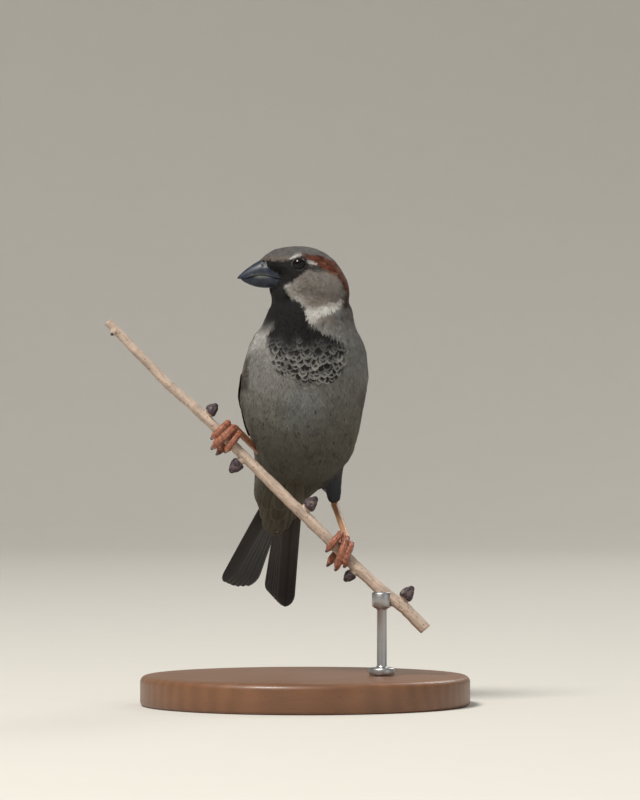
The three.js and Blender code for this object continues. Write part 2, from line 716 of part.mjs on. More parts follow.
for (const side of SIDES) {
  const { tarsus, thigh } = legForms[side];
  const tarsusRoom = grownSolid(tarsus, GAP);
  const wing = wingSolid(side).subtract(fanRoom.left).subtract(fanRoom.right).subtract(tarsusRoom);
  addNode("eye_" + side, solidOf(eyes[side]), "eye");
  for (const part of ["coverts", "secondaries", "primaries"]) {
    const region = chordPrism(wingRegion(part), side);
    addNode("wing_" + side + "_" + part, wing.intersect(region), part === "coverts" ? "wing" : "flight");
  }
  addNode("tail_" + side, fans[side], "flight");
  addNode("thigh_" + side, solidOf(thigh).subtract(tarsusRoom).subtract(wingBed(side)), "plumage");
  addNode("tarsus_" + side, solidOf(tarsus).subtract(perchRoom), "leg");

  const foot = FEET[side];
  const frame = twigAt(foot.x);
  let taken = perchRoom.add(tarsusRoom);
  for (const [name, toe] of Object.entries(foot.toes)) {
    const form = toeForm(frame, toe);
    addNode("toe_" + name + "_" + side, solidOf(form).subtract(taken), "leg");
    taken = taken.add(grownSolid(form, GAP));
  }
  for (const [name, toe] of Object.entries(foot.toes)) {
    const form = clawForm(frame, toe);
    addNode("claw_" + name + "_" + side, solidOf(form).subtract(taken), "claw");
    taken = taken.add(grownSolid(form, GAP));
  }
}

addNode("perch_twig", perch, "bark");
addNode("stand_base", solidOf(baseForm()), "wood");
addNode("stand_rod", solidOf(rodForm()).subtract(perchRoom), "steel");

export default group;
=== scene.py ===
"""House sparrow: an adult cock in spring plumage, life size, perched on a cut twig on a display stand."""

import itertools
import math

import bmesh
import bpy
import numpy as np
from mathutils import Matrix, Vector
from mathutils.bvhtree import BVHTree


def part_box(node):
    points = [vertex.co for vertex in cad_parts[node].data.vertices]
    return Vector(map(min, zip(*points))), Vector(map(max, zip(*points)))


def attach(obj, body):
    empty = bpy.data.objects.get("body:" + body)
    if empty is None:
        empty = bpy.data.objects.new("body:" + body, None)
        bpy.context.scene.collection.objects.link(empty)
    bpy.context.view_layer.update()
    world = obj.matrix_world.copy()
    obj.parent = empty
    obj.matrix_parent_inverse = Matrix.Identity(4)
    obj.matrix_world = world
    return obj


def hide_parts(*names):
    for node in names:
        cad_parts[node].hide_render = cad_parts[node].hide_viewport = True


bl_info = {
    "name": "Perched sparrow",
    "version": (1, 0, 0),
    "blender": (4, 5, 0),
    "location": "3D View > Sidebar > Sparrow",
    "description": "Builds a life-size perched sparrow, its twig and its display stand",
    "category": "Object",
}

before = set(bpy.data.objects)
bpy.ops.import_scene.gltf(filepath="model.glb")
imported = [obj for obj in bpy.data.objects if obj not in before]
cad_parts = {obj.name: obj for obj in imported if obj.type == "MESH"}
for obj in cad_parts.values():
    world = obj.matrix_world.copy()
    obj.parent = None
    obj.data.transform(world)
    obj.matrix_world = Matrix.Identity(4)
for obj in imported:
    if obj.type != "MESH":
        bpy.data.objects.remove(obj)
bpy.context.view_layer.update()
MM = 0.001
UP = np.array([0.0, 0.0, 1.0])
SIDES = ("left", "right")
TOES = ("inner", "middle", "outer", "hind")
EYE = (4.6, 2.75)  # ahead of the head's origin and above it, in millimetres
BILL_EDGE = -0.5  # height on the head of the line between the bill's two halves
BILL_BASE = 11.8  # how far ahead the horn starts
NOSTRIL = (14.3, 2.7)  # ahead and above, as for the eye
GAPE = [-4.3, -3.7, -1.8, -0.2, 0.9]  # heights at which the black's edge by the bill is given
HEAD_FROM = 117.5  # height of the coat's join between head and neck
BELLY_BELOW = 92.0  # height of its join between breast and belly
ROOT_SEED = 11
COAT_SEED = 5
BUD_SEED = 3
PATCH = 0.003  # width of one feather's patch on the bake map
SCALE_RUN = 0.95  # length of one scale of the leg, in millimetres
TAIL_FEATHERS = 6  # in each half
TAIL_WIDE = 5.8  # width of one tail feather
LID_RADIUS = 2.02  # of the middle line of the eyelid's rim
VANE_BODY = 0.08 * MM  # thickness of a long feather
CAMERA = (4.5 * MM, -1.5, 92.4 * MM)
LENS = 222.75


# ---------------------------------------------------------------- small sums


def unit(vectors):
    """Vectors, one or many, brought to length 1."""
    vectors = np.asarray(vectors, float)
    size = np.linalg.norm(vectors, axis=-1, keepdims=True)
    return vectors / np.maximum(size, 1e-12)


def flattened(vectors, normals):
    """Directions laid flat on a surface that has these normals."""
    return unit(vectors - normals * np.sum(vectors * normals, axis=1)[:, None])


def soft(low, high, value):
    """A soft step from 0 at low to 1 at high."""
    share = np.clip((value - low) / (high - low), 0.0, 1.0)
    return share * share * (3.0 - 2.0 * share)


def spot(value, middle, reach):
    """A soft hump, 1 at the middle and 0 beyond its reach."""
    return soft(1.0, 0.0, np.abs(value - middle) / reach)


def mixed(first, second, share):
    """Colours run from the first to the second by a share for each point."""
    return first + (second - first) * np.asarray(share)[..., None]


def lattice(cells):
    """A steady pseudo-random number from 0 to 1 for each row of whole numbers."""
    key = cells[:, 0] * 73856093 ^ cells[:, 1] * 19349663 ^ cells[:, 2] * 83492791
    key = (key ^ (key >> 13)) * 1274126177
    return ((key ^ (key >> 16)) & 0xFFFF) / 65535.0


def cloud(points, size):
    """Smooth noise from -1 to 1 at points, with lumps of about that size."""
    scaled = np.asarray(points) / size
    base = np.floor(scaled).astype(np.int64)
    share = scaled - base
    share = share * share * (3.0 - 2.0 * share)
    total = np.zeros(len(scaled))
    for corner in range(8):
        offset = np.array([corner & 1, corner >> 1 & 1, corner >> 2 & 1])
        weight = np.prod(np.where(offset == 1, share, 1.0 - share), axis=1)
        total += weight * lattice(base + offset)
    return total * 2.0 - 1.0


# ------------------------------------------------------- places from the CAD


def read(items, key, wide=3, kind=np.float32):
    """One property of many items, as an array of that many columns."""
    flat = np.empty(len(items) * wide, kind)
    items.foreach_get(key, flat)
    return flat.reshape(-1, wide)


def get_points(mesh):
    """A mesh's vertices as an array."""
    return read(mesh.vertices, "co").astype(float)


def corners(name):
    """All the vertices of a CAD node, in metres."""
    return get_points(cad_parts[name].data)


def middle(name):
    """The middle of a CAD node's box."""
    low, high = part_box(name)
    return (np.array(low) + np.array(high)) / 2.0


class Axes:
    """Three directions from an origin, and the way between them and the row frame in millimetres."""

    def __init__(self, origin, first, second, third):
        self.origin = np.array(origin, float)
        self.rows = np.array([first, second, third], float)

    def inside(self, points):
        """Points of the row frame, as distances in millimetres along the three directions."""
        return (np.asarray(points) - self.origin) @ self.rows.T / MM

    def outside(self, values):
        """Distances in millimetres, as points of the row frame."""
        return self.origin + np.asarray(values) @ self.rows * MM


def head_axes():
    """The head: forward along the bill, out to its left, and up."""
    left = middle("eye_left") - middle("eye_right")
    left[2] = 0.0
    left = unit(left)
    forward = np.cross(left, UP)
    between = (middle("eye_left") + middle("eye_right")) / 2.0
    return Axes(between - forward * EYE[0] * MM - UP * EYE[1] * MM, forward, left, UP)


def body_axes():
    """The body: out to its left, back from the breast, and up."""
    left = middle("wing_left_coverts") - middle("wing_right_coverts")
    left[2] = 0.0
    left = unit(left)
    return Axes((0.0, 0.0, 0.0), left, np.cross(UP, left), UP)


HEAD = head_axes()
BILL_ROOM = HEAD.inside(corners("bill_upper"))
BILL_TIP = BILL_ROOM[:, 0].max()
BILL_WIDE = BILL_ROOM[:, 1].max()
BILL_RIDGE = 6.0
BILL_KEEL = 3.7
BODY = body_axes()
WING_SLOPE = math.radians(52.3)
CHORD = unit(BODY.rows[1] * math.cos(WING_SLOPE) - UP * math.sin(WING_SLOPE))
RISE = unit(BODY.rows[1] * math.sin(WING_SLOPE) + UP * math.cos(WING_SLOPE))
WRIST = BODY.outside([0.0, -9.0, 107.0])


def spine_back(height):
    """How far back the middle of the body lies at a height, both in millimetres."""
    return np.interp(height, [50, 63, 80, 100, 129], [36.5, 26, 12.2, -2.3, -10])


def tailward(height):
    """The direction of the body towards the tail at a height."""
    slope = np.radians(np.interp(height, [50, 66, 84, 104, 116], [40, 48, 54, 76, 88]))
    return np.cos(slope)[:, None] * BODY.rows[1] - np.sin(slope)[:, None] * UP


def up_wing(points):
    """The share of the way from a wing's lower edge to its upper one, at points."""
    away = points - WRIST
    along = away @ CHORD / MM
    turn = np.arctan2(away @ RISE, np.abs(away @ BODY.rows[0]))
    low = np.interp(along, [0, 8, 20, 35, 50, 65, 76], [0.02, -0.06, -0.02, 0.16, 0.4, 0.75, 1.05])
    return (turn - low) / (1.5 - low)


def down_wing(points):
    """How far points lie along a wing from its wrist, in millimetres."""
    return (points - WRIST) @ CHORD / MM


def scapular_share(points):
    """Where the back's feathers lie over the inner edge of the wing, from 0 to 1."""
    line = np.interp(down_wing(points), [0, 15, 30, 45, 56], [0.52, 0.54, 0.6, 0.76, 1.05])
    return soft(-0.04, 0.04, up_wing(points) - line)


def bill_line(above):
    """How far ahead the face's feathers end on the bill, at a height on the head."""
    rows = [-4.1, -2.9, -1.4, 0.1, 1.3, 2.1, 2.8, 4.6, 5.6]
    return np.interp(above, rows, [12.2, 10.6, 10.1, 10.5, 11.7, 13.2, 14.3, 15.2, 15.3])


def bill_taper(run):
    """The bill's width, its upper half's height and its lower half's, as shares of those at its base."""
    end = np.sqrt(np.maximum(1.0 - run**2, 0.0))
    return (1.0 - run) ** 0.4 * end, (1.0 - run) ** 0.4 * end, (1.0 - 0.33 * run**3) * end


def bill_reach(ahead, aside, above):
    """The bill's own reach from its cutting edge, towards points on the head."""
    run = np.clip((ahead - BILL_BASE) / (BILL_TIP - BILL_BASE), 0.0, 1.0)
    behind = np.clip(BILL_BASE - ahead, 0.0, 3.0)
    turn = np.arctan2(above - BILL_EDGE, np.abs(aside))
    wide, upper, lower = bill_taper(run)
    wide = BILL_WIDE * wide + behind * 0.35 + 0.05
    tall = np.where(turn > 0.0, BILL_RIDGE * upper, BILL_KEEL * lower) + behind * 0.12 + 0.05
    return 1.0 / np.sqrt((np.cos(turn) / wide) ** 2 + (np.sin(turn) / tall) ** 2)


# --------------------------------------------------------------- mesh making


def new_object(name, mesh):
    """An object for a mesh, at the origin."""
    item = bpy.data.objects.new(name, mesh)
    bpy.context.scene.collection.objects.link(item)
    return item


def finished(item, material, bed, *nodes):
    """A piece with its finish, riding on the model and standing for its CAD nodes."""
    item.data.materials.clear()
    item.data.materials.append(material)
    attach(item, "root")
    if nodes:
        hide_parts(*nodes)
    return item


def placed(name, mesh, material, bed, *nodes):
    """A smooth piece made from a mesh, finished and standing for its CAD nodes."""
    shade_smooth(mesh)
    return finished(new_object(name, mesh), material, bed, *nodes)


def merged_copy(names, swell=0.0):
    """Copies of CAD nodes in one bmesh, closed and pushed out by a little."""
    bm = bmesh.new()
    for name in names:
        one = bmesh.new()
        one.from_mesh(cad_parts[name].data)
        bmesh.ops.remove_doubles(one, verts=one.verts, dist=0.00002)
        bmesh.ops.recalc_face_normals(one, faces=one.faces)
        one.normal_update()
        for vert in one.verts:
            vert.co += vert.normal * swell
        add_mesh(bm, mesh_of(one, "holder"))
    return bm


def mesh_of(bm, name):
    """A bmesh written out as a mesh, and freed."""
    mesh = bpy.data.meshes.new(name)
    bm.to_mesh(mesh)
    bm.free()
    return mesh


def outward(bm, name):
    """A bmesh written out with all its faces turned outward."""
    bmesh.ops.recalc_face_normals(bm, faces=bm.faces)
    return mesh_of(bm, name)


def add_mesh(bm, mesh):
    """Adds a mesh to a bmesh and removes it."""
    bm.from_mesh(mesh)
    bpy.data.meshes.remove(mesh)


def main_lines(points):
    """The middle of some points and the directions in which they spread, the longest first."""
    core = points.mean(axis=0)
    return core, np.linalg.svd(points - core, full_matrices=False)[2]


def tree_of_nodes(names):
    """A search tree over some CAD nodes."""
    bm = merged_copy(names)
    tree = BVHTree.FromBMesh(bm)
    bm.free()
    return tree


def distances(tree, points):
    """How far points are from a tree's surface, in millimetres."""
    return np.array([tree.find_nearest(p)[3] for p in points]) / MM


def lathed(profile, steps, join=0.000001):
    """A bmesh turned from a profile of radius and height, closed at both ends."""
    bm = bmesh.new()
    verts = [bm.verts.new((radius, 0.0, height)) for radius, height in profile]
    edges = [bm.edges.new(pair) for pair in zip(verts, verts[1:])]
    spun(bm, verts + edges, steps)
    bmesh.ops.remove_doubles(bm, verts=bm.verts, dist=join)
    return bm


def spun(bm, geometry, steps):
    """Turns a line or a ring once round the upright axis."""
    axis, centre = (0, 0, 1), (0, 0, 0)
    bmesh.ops.spin(bm, geom=geometry, axis=axis, cent=centre, steps=steps, angle=math.tau, use_merge=True)


def remeshed(name, bm, voxel):
    """A mesh of even small squares over the outside of a bmesh's closed shells."""
    mesh = mesh_of(bm, name)
    item = new_object(name, mesh)
    modifier = item.modifiers.new("even", "REMESH")
    modifier.mode = "VOXEL"
    modifier.voxel_size = voxel
    bpy.context.view_layer.update()
    graph = bpy.context.evaluated_depsgraph_get()
    made = bpy.data.meshes.new_from_object(item.evaluated_get(graph))
    bpy.data.objects.remove(item)
    bpy.data.meshes.remove(mesh)
    return made


def set_points(mesh, points):
    """Moves a mesh's vertices to the places in an array."""
    mesh.vertices.foreach_set("co", np.asarray(points, np.float32).ravel())
    mesh.update()


def get_normals(mesh):
    """A mesh's vertex normals as an array."""
    return read(mesh.vertex_normals, "vector").astype(float)


def get_edges(mesh):
    """A mesh's edges as pairs of vertex numbers."""
    return read(mesh.edges, "vertices", 2, np.int32)


def averaged(values, edges):
    """Each vertex's values as the mean of its neighbours'."""
    size = len(values)
    count = np.maximum(np.bincount(edges.ravel(), minlength=size), 1)
    total = np.empty_like(values)
    for column in range(values.shape[1]):
        there = np.bincount(edges[:, 0], values[edges[:, 1], column], size)
        back = np.bincount(edges[:, 1], values[edges[:, 0], column], size)
        total[:, column] = (there + back) / count
    return total


def relax(mesh, rounds):
    """Smooths a mesh without shrinking it."""
    points = get_points(mesh)
    edges = get_edges(mesh)
    for _ in range(rounds):
        for factor in (0.55, -0.575):
            points = points + factor * (averaged(points, edges) - points)
    set_points(mesh, points)


def shade_smooth(mesh):
    """Marks all of a mesh's faces smooth."""
    mesh.polygons.foreach_set("use_smooth", np.ones(len(mesh.polygons), bool))
    mesh.update()


def tree_of(mesh):
    """A search tree over a mesh."""
    polygons = [tuple(p.vertices) for p in mesh.polygons]
    return BVHTree.FromPolygons([v.co.copy() for v in mesh.vertices], polygons)


def nearest(tree, points):
    """For each point, the nearest place on a tree's surface and its normal."""
    places = np.empty((len(points), 3))
    normals = np.empty((len(points), 3))
    for number, point in enumerate(points):
        places[number], normals[number] = tree.find_nearest(point)[:2]
    return places, normals


def set_colours(mesh, name, colours):
    """Writes a colour for each vertex to a mesh attribute."""
    layer = mesh.attributes.new(name, "FLOAT_COLOR", "POINT")
    full = np.ones((len(colours), 4), np.float32)
    full[:, :3] = colours
    layer.data.foreach_set("color", full.ravel())


def set_numbers(mesh, name, values):
    """Writes a number for each vertex to a mesh attribute."""
    layer = mesh.attributes.new(name, "FLOAT", "POINT")
    layer.data.foreach_set("value", np.asarray(values, np.float32))


# ------------------------------------------------------------ settings shown


def from_screen(red, green, blue):
    """A colour given as a screen shows it, 0 to 255, as the shaders use it."""
    values = np.array([red, green, blue]) / 255.0
    return tuple(np.where(values <= 0.04045, values / 12.92, ((values + 0.055) / 1.055) ** 2.4))


def colour(name, description, red, green, blue):
    """A colour setting."""
    return bpy.props.FloatVectorProperty(
        name=name,
        description=description,
        subtype="COLOR",
        size=3,
        min=0.0,
        max=1.0,
        default=from_screen(red, green, blue),
    )


def length(name, description, millimetres):
    """A length setting, given in millimetres."""
    return bpy.props.FloatProperty(
        name=name,
        description=description,
        subtype="DISTANCE",
        unit="LENGTH",
        min=0.0,
        default=millimetres * MM,
    )


def amount(name, description, value):
    """A plain number setting."""
    return bpy.props.FloatProperty(name=name, description=description, min=0.0, default=value)


class SPARROW_PG_sizes(bpy.types.PropertyGroup):
    """Sizes of the coat, the bare parts and the stand."""

    coat_body: length("Body coat", "Depth of the body feathers over the skin", 1.1)
    coat_head: length("Head coat", "Depth of the head feathers over the skin", 0.5)
    skin_voxel: length("Skin detail", "Size of the skin's small squares", 0.7)
    spread: amount("Feather spacing", "Scales the room that each body feather takes", 1.0)
    stack: length("Vane step", "Height of one flight feather over the next", 0.1)
    lid: length("Eyelid", "Thickness of the eyelid's rim", 0.15)
    chamfer: length("Base edge", "Size of the round on the wooden base's rim", 1.2)


class SPARROW_PG_colours(bpy.types.PropertyGroup):
    """Colours of the plumage, the bare parts, the perch and the stand."""

    crown: colour("Crown", "Grey of the cap", 94, 91, 89)
    chestnut: colour("Chestnut", "Band from the eye to the nape", 86, 42, 24)
    cheek: colour("Cheek", "Grey of the ear coverts", 114, 108, 103)
    white: colour("White", "Half collar, brow mark and wing bar", 184, 182, 178)
    black: colour("Black", "Lores, throat and bib", 24, 22, 23)
    breast: colour("Breast", "Grey of the breast", 126, 125, 122)
    # The belly grey is darker than the breast partly as painted shade under the body.
    belly: colour("Belly", "Grey of the belly and flanks", 100, 99, 92)
    # The vent colour is the vent's own buff-grey darkened as painted shade under the body.
    vent: colour("Vent", "Under the tail", 72, 68, 56)
    mantle: colour("Mantle", "Rufous brown of the back", 124, 86, 60)
    streak: colour("Streak", "Dark centres of the back feathers", 38, 32, 30)
    rump: colour("Rump", "Grey brown above the tail", 122, 112, 98)
    flight: colour("Flight", "Dark brown of the wing and tail vanes", 50, 47, 46)
    edge: colour("Edge", "Buff edges of the flight feathers", 134, 114, 92)
    tibia: colour("Tibia", "Slate feathers of the lower leg", 56, 59, 66)
    bill: colour("Bill", "Slate of the horn", 34, 41, 54)
    eye: colour("Eye", "Dark brown of the eyeball", 20, 9, 6)
    leg: colour("Toes", "Scaled skin of the toes", 146, 90, 68)
    shin: colour("Shin", "Scaled skin of the leg above the toes", 182, 142, 106)
    claw: colour("Claw", "Horn of the claws", 52, 40, 36)
    bark: colour("Bark", "Pale bark of the twig", 184, 164, 148)
    bud: colour("Bud", "Dark scales of the buds", 62, 48, 54)
    wood: colour("Wood", "Turned wood of the base", 118, 78, 50)
    steel: colour("Steel", "Brushed metal of the rod", 176, 176, 178)
    backdrop: colour("Backdrop", "Floor and wall behind the stand", 202, 199, 192)


def sizes():
    """The sizes in use."""
    return bpy.context.scene.sparrow_sizes


def shade(name):
    """One of the colours in use, as an array."""
    return np.array(getattr(bpy.context.scene.sparrow_colours, name), float)


# ------------------------------------------------------------------ finishes


class Tone:
    """A number or colour on its way through a material's nodes, in sums written as Python's own."""

    def __init__(self, paint, socket):
        self.paint = paint
        self.socket = socket

    def maths(self, operation, *terms):
        """A Math node on these terms."""
        return self.paint.make("ShaderNodeMath", {"operation": operation}, dict(enumerate(terms)))

    def __add__(self, other):
        return self.maths("ADD", self, other)

    def __radd__(self, other):
        return self.maths("ADD", other, self)

    def __sub__(self, other):
        return self.maths("SUBTRACT", self, other)

    def __rsub__(self, other):
        return self.maths("SUBTRACT", other, self)

    def __mul__(self, other):
        return self.maths("MULTIPLY", self, other)

    def __rmul__(self, other):
        return self.maths("MULTIPLY", other, self)

    def __truediv__(self, other):
        return self.maths("DIVIDE", self, other)

    def clear(self, low, high):
        """This number as a share, 0 at low and 1 at high."""
        settings = {"interpolation_type": "SMOOTHSTEP"}
        return self.paint.make("ShaderNodeMapRange", settings, {0: self, 1: low, 2: high, 3: 0.0, 4: 1.0})


class Paint:
    """One material and the nodes that make its finish."""

    def __init__(self, name):
        self.material = bpy.data.materials.new(name)
        self.material.use_nodes = True
        self.tree = self.material.node_tree
        self.tree.nodes.clear()

    def make(self, kind, settings=None, inputs=None, output=0):
        """Any node, with its settings first and then its sockets' values or links."""
        node = self.tree.nodes.new(kind)
        for key, value in (settings or {}).items():
            setattr(node, key, value)
        for key, value in (inputs or {}).items():
            if isinstance(value, Tone):
                self.tree.links.new(value.socket, node.inputs[key])
            else:
                node.inputs[key].default_value = value
        return Tone(self, node.outputs[output])

    def place(self):
        """The piece's own coordinates, in metres."""
        return self.make("ShaderNodeTexCoord", output="Object")

    def stretched(self, scale, turn=(0.0, 0.0, 0.0)):
        """The piece's own coordinates, turned and scaled."""
        inputs = {"Vector": self.place(), "Rotation": turn, "Scale": scale}
        return self.make("ShaderNodeMapping", {"vector_type": "TEXTURE"}, inputs)

    def kept(self, name, output="Fac"):
        """A value that the mesh keeps for each of its points."""
        return self.make("ShaderNodeAttribute", {"attribute_name": name}, output=output)

    def noise(self, where, lumps, detail=3.0, rough=0.55):
        """Noise with lumps of a size in metres."""
        inputs = {"Vector": where, "Scale": 1.0 / lumps, "Detail": detail, "Roughness": rough}
        return self.make("ShaderNodeTexNoise", {}, inputs)

    def mix(self, first, second, share):
        """Colours run from the first to the second by a share."""
        inputs = {0: share, 6: self.full(first), 7: self.full(second)}
        return self.make("ShaderNodeMix", {"data_type": "RGBA"}, inputs, output=2)

    @staticmethod
    def full(tone):
        """A colour with its fourth number, or a link as it is."""
        return tone if isinstance(tone, Tone) else (*[float(v) for v in tone], 1.0)

    def scaled(self, tone, factor):
        """A colour made lighter or darker by a number."""
        settings = {"operation": "SCALE"}
        return self.make("ShaderNodeVectorMath", settings, {0: tone, "Scale": factor})

    def bump(self, height, distance, strength=1.0):
        """A normal from a height; the distance is in metres."""
        inputs = {"Height": height, "Distance": distance, "Strength": strength}
        return self.make("ShaderNodeBump", {}, inputs)

    def skin(self, inputs):
        """The surface itself; gives back the material."""
        whole = {key: self.full(value) if key.endswith("Color") else value for key, value in inputs.items()}
        surface = self.make("ShaderNodeBsdfPrincipled", {}, whole)
        out = self.tree.nodes.new("ShaderNodeOutputMaterial")
        self.tree.links.new(surface.socket, out.inputs["Surface"])
        return self.material


def plumage_finish(name, gloss=0.8, sheen=0.05, barbs=26.0, comb_share=0.1, shine=0.18):
    """Feather: its own colours, fine barbs across each vane, and a soft bloom."""
    paint = Paint(name)
    tint = paint.kept("tint", "Color")
    across = paint.kept("across")
    along = paint.kept("along")
    line = along * barbs - across * 5.0
    comb = paint.make("ShaderNodeMath", {"operation": "PINGPONG"}, {0: line, 1: 0.5})
    mottle = paint.noise(paint.place(), 0.6 * MM, 3.0)
    tone = paint.scaled(tint, (1.0 - 0.17 - comb_share * 0.25) + mottle * 0.34 + comb * comb_share)
    height = comb * comb_share * 4.0 + mottle * 0.5
    return paint.skin(
        {
            "Base Color": tone,
            "Roughness": gloss,
            "Specular IOR Level": shine,
            "Sheen Weight": sheen,
            "Sheen Roughness": 0.5,
            "Normal": paint.bump(height, 0.03 * MM, 0.5),
        }
    )


def skin_finish():
    """Skin and down under the feathers, in the feathers' own colours."""
    paint = Paint("down")
    tint = paint.kept("tint", "Color")
    lumps = paint.noise(paint.place(), 0.5 * MM, 4.0)
    return paint.skin(
        {
            "Base Color": paint.scaled(tint, 0.55 + lumps * 0.4),
            "Roughness": 0.9,
            "Sheen Weight": 0.3,
            "Normal": paint.bump(lumps, 0.15 * MM, 0.7),
        }
    )


# ------------------------------------------------------------------ markings


THROAT_EDGE = [4.3, 4.8, 6.0, 8.0, 9.3, 9.1, 6.7, 4.0, 3.0]
LOWER_ROWS = [-12.5, -11.6, -10.2, -8.1, -6.3, -2.8, -0.6, 1.2, 2.8, 4.5]


def around(points):
    """The bearing of points about the body's middle, in degrees: 0 ahead, left negative, right positive."""
    height = points[:, 2] / MM
    core = BODY.outside(np.stack([height * 0.0, spine_back(height), height], axis=1))
    away = points - core
    return np.degrees(np.arctan2(away[:, 0], -away[:, 1]))


def throat_share(points):
    """Where the black of the throat and bib lies, from 0 to 1."""
    ahead, _, above = HEAD.inside(points).T
    height = points[:, 2] / MM
    bearing = around(points) + cloud(points, 1.6 * MM) * 4.0
    rows = [97, 99, 101, 105, 108, 110, 112.4, 115, 116.5, 118.3, 120, 124]
    far = np.interp(height, rows, [-4, -12, -27, -36, -45, -51, -51, -44, -46, -75, -100, -128])
    near = np.interp(height, rows, [16, 30, 37, 42, 44, 38, 17, 1, -3, -6, -8, -32])
    low = soft(-3.0, 3.0, bearing - far) * soft(3.0, -3.0, bearing - near) * soft(96.0, 98.5, height)
    line = np.interp(above, [-13.1, -10.7, -8.8, -6.7, *GAPE], THROAT_EDGE)
    high = soft(-0.5, 0.5, ahead - line + cloud(points, 0.9 * MM) * 0.5) * soft(1.2, 0.6, above)
    turn = soft(121.5, 124.0, height)
    return low * (1.0 - turn) + high * turn


def head_tones(points, tone):
    """Lays the head's colours over others, at points."""
    ahead, aside, above = HEAD.inside(points).T
    aside = np.abs(aside)
    ragged = cloud(points, 1.3 * MM) * 0.4 + cloud(points, 0.6 * MM) * 0.25
    speckle = cloud(points, 0.75 * MM)
    on_head = soft(-17.0, -13.5, above)
    front = soft(3.0, 9.0, ahead - above * 0.5 - 2.0)
    grey = mixed(shade("cheek"), shade("white") * 0.86, front * 0.75 * soft(1.0, -2.0, above))
    brown = spot(above, -8.6, 2.2) * spot(ahead, 0.0, 5.0)
    grey = mixed(grey, shade("cheek") * np.array([0.84, 0.78, 0.72]), brown)
    grey = mixed(grey, shade("crown"), soft(-4.0, -9.5, ahead) * 0.6)
    tone = mixed(tone, grey, on_head)
    band = np.interp(ahead, [-8.9, -7.9, -4, 1.5, 4.0], [-8.6, -9.1, -10.9, -12.8, -12.4])
    thick = np.interp(ahead, [-8.9, -7.9, -4, 1.5, 4.0], [1.2, 1.5, 2.3, 3.4, 3.4])
    white = spot(above + ragged, band, thick) * soft(5.5, 4.0, ahead) * soft(-10.4, -8.6, ahead)
    tone = mixed(tone, shade("white"), np.clip(white * 1.35, 0.0, 1.0))
    cool = spot(above, -12.8, 2.4) * spot(ahead, -7.8, 3.0)
    tone = mixed(tone, shade("breast") * np.array([0.62, 0.68, 0.78]), cool * 0.8)
    lower = np.interp(ahead, LOWER_ROWS, [-11, -8.3, -5.6, -2.7, -0.3, 0.8, 2.7, 3.8, 4.5, 5.1])
    rufous = soft(-0.6, 0.6, above - lower + ragged) * soft(5.2, 4.2, ahead + ragged)
    red = mixed(shade("chestnut"), shade("chestnut") * 0.3, soft(0.1, 0.6, -speckle) * 0.85)
    buff = soft(0.3, 0.65, speckle) * soft(2.0, -5.0, ahead)
    red = mixed(red, shade("edge") * 0.8, buff * 0.55)
    tone = mixed(tone, red, rufous)
    dusky = soft(-8.0, -9.6, ahead) * soft(-11.4, -9.8, above) * soft(-5.6, -7.2, above)
    tone = mixed(tone, shade("chestnut") * 0.25, dusky * 0.85)
    rows = [-11.5, -9.5, -7.5, -5.5, -3, 1.5, 4.3, 8, 12]
    half = np.interp(ahead, rows, [0.6, 1.6, 3.4, 5.2, 5.8, 6.2, 6.3, 7.4, 9])
    cap = soft(0.6, -0.6, aside - half + ragged) * soft(2.0, 4.0, above)
    front = soft(6.0, 7.4, ahead) * soft(3.0, 4.2, above)
    cap = np.maximum(cap, front)
    grey = mixed(shade("crown"), shade("crown") * 0.5, soft(0.1, 0.75, -speckle) * 0.8)
    grey = mixed(grey, shade("edge") * 0.95, spot(above, 4.2, 1.6) * soft(5.5, 8.5, ahead) * 0.35)
    tone = mixed(tone, grey, cap)
    band = soft(3.2, 2.2, ahead) * soft(-3.4, -1.6, ahead + ragged)
    band = band * spot(above + ragged * 0.5, np.interp(ahead, [-2.5, 3.0], [1.3, 1.9]), 1.35)
    tone = mixed(tone, shade("black") * 1.3, np.clip(band * 1.5, 0.0, 1.0) * 0.85)
    brow = spot(above, np.interp(ahead, [4.0, 7.3], [5.6, 4.5]), 0.75)
    brow = brow * soft(3.6, 4.4, ahead) * soft(7.6, 6.8, ahead)
    behind = spot(above, np.interp(ahead, [-0.5, 2.4], [3.0, 3.6]), 0.7)
    behind = behind * soft(-0.8, 0.0, ahead) * soft(2.5, 2.0, ahead)
    dark = soft(6.0, 7.2, ahead) * soft(4.5, 3.7, above + ragged) * soft(-4.0, -2.0, above)
    from_eye = np.hypot(ahead - EYE[0], (above - EYE[1]) * 1.05)
    dark = np.maximum(dark, soft(3.1, 2.5, from_eye))
    under = soft(-0.5, 0.5, ahead - np.interp(above, GAPE, THROAT_EDGE[4:]) + ragged)
    dark = np.maximum(dark, under * soft(2.8, 1.8, above))
    lit = soft(0.35, 0.7, speckle) * soft(9.0, 7.0, ahead) * soft(5.4, 6.2, ahead) * 0.3
    black = mixed(shade("black"), shade("cheek") * 0.7, lit)
    tone = mixed(tone, black, dark)
    return mixed(tone, shade("white") * 0.9, np.clip(np.maximum(brow * 1.2, behind * 0.85), 0.0, 0.95))


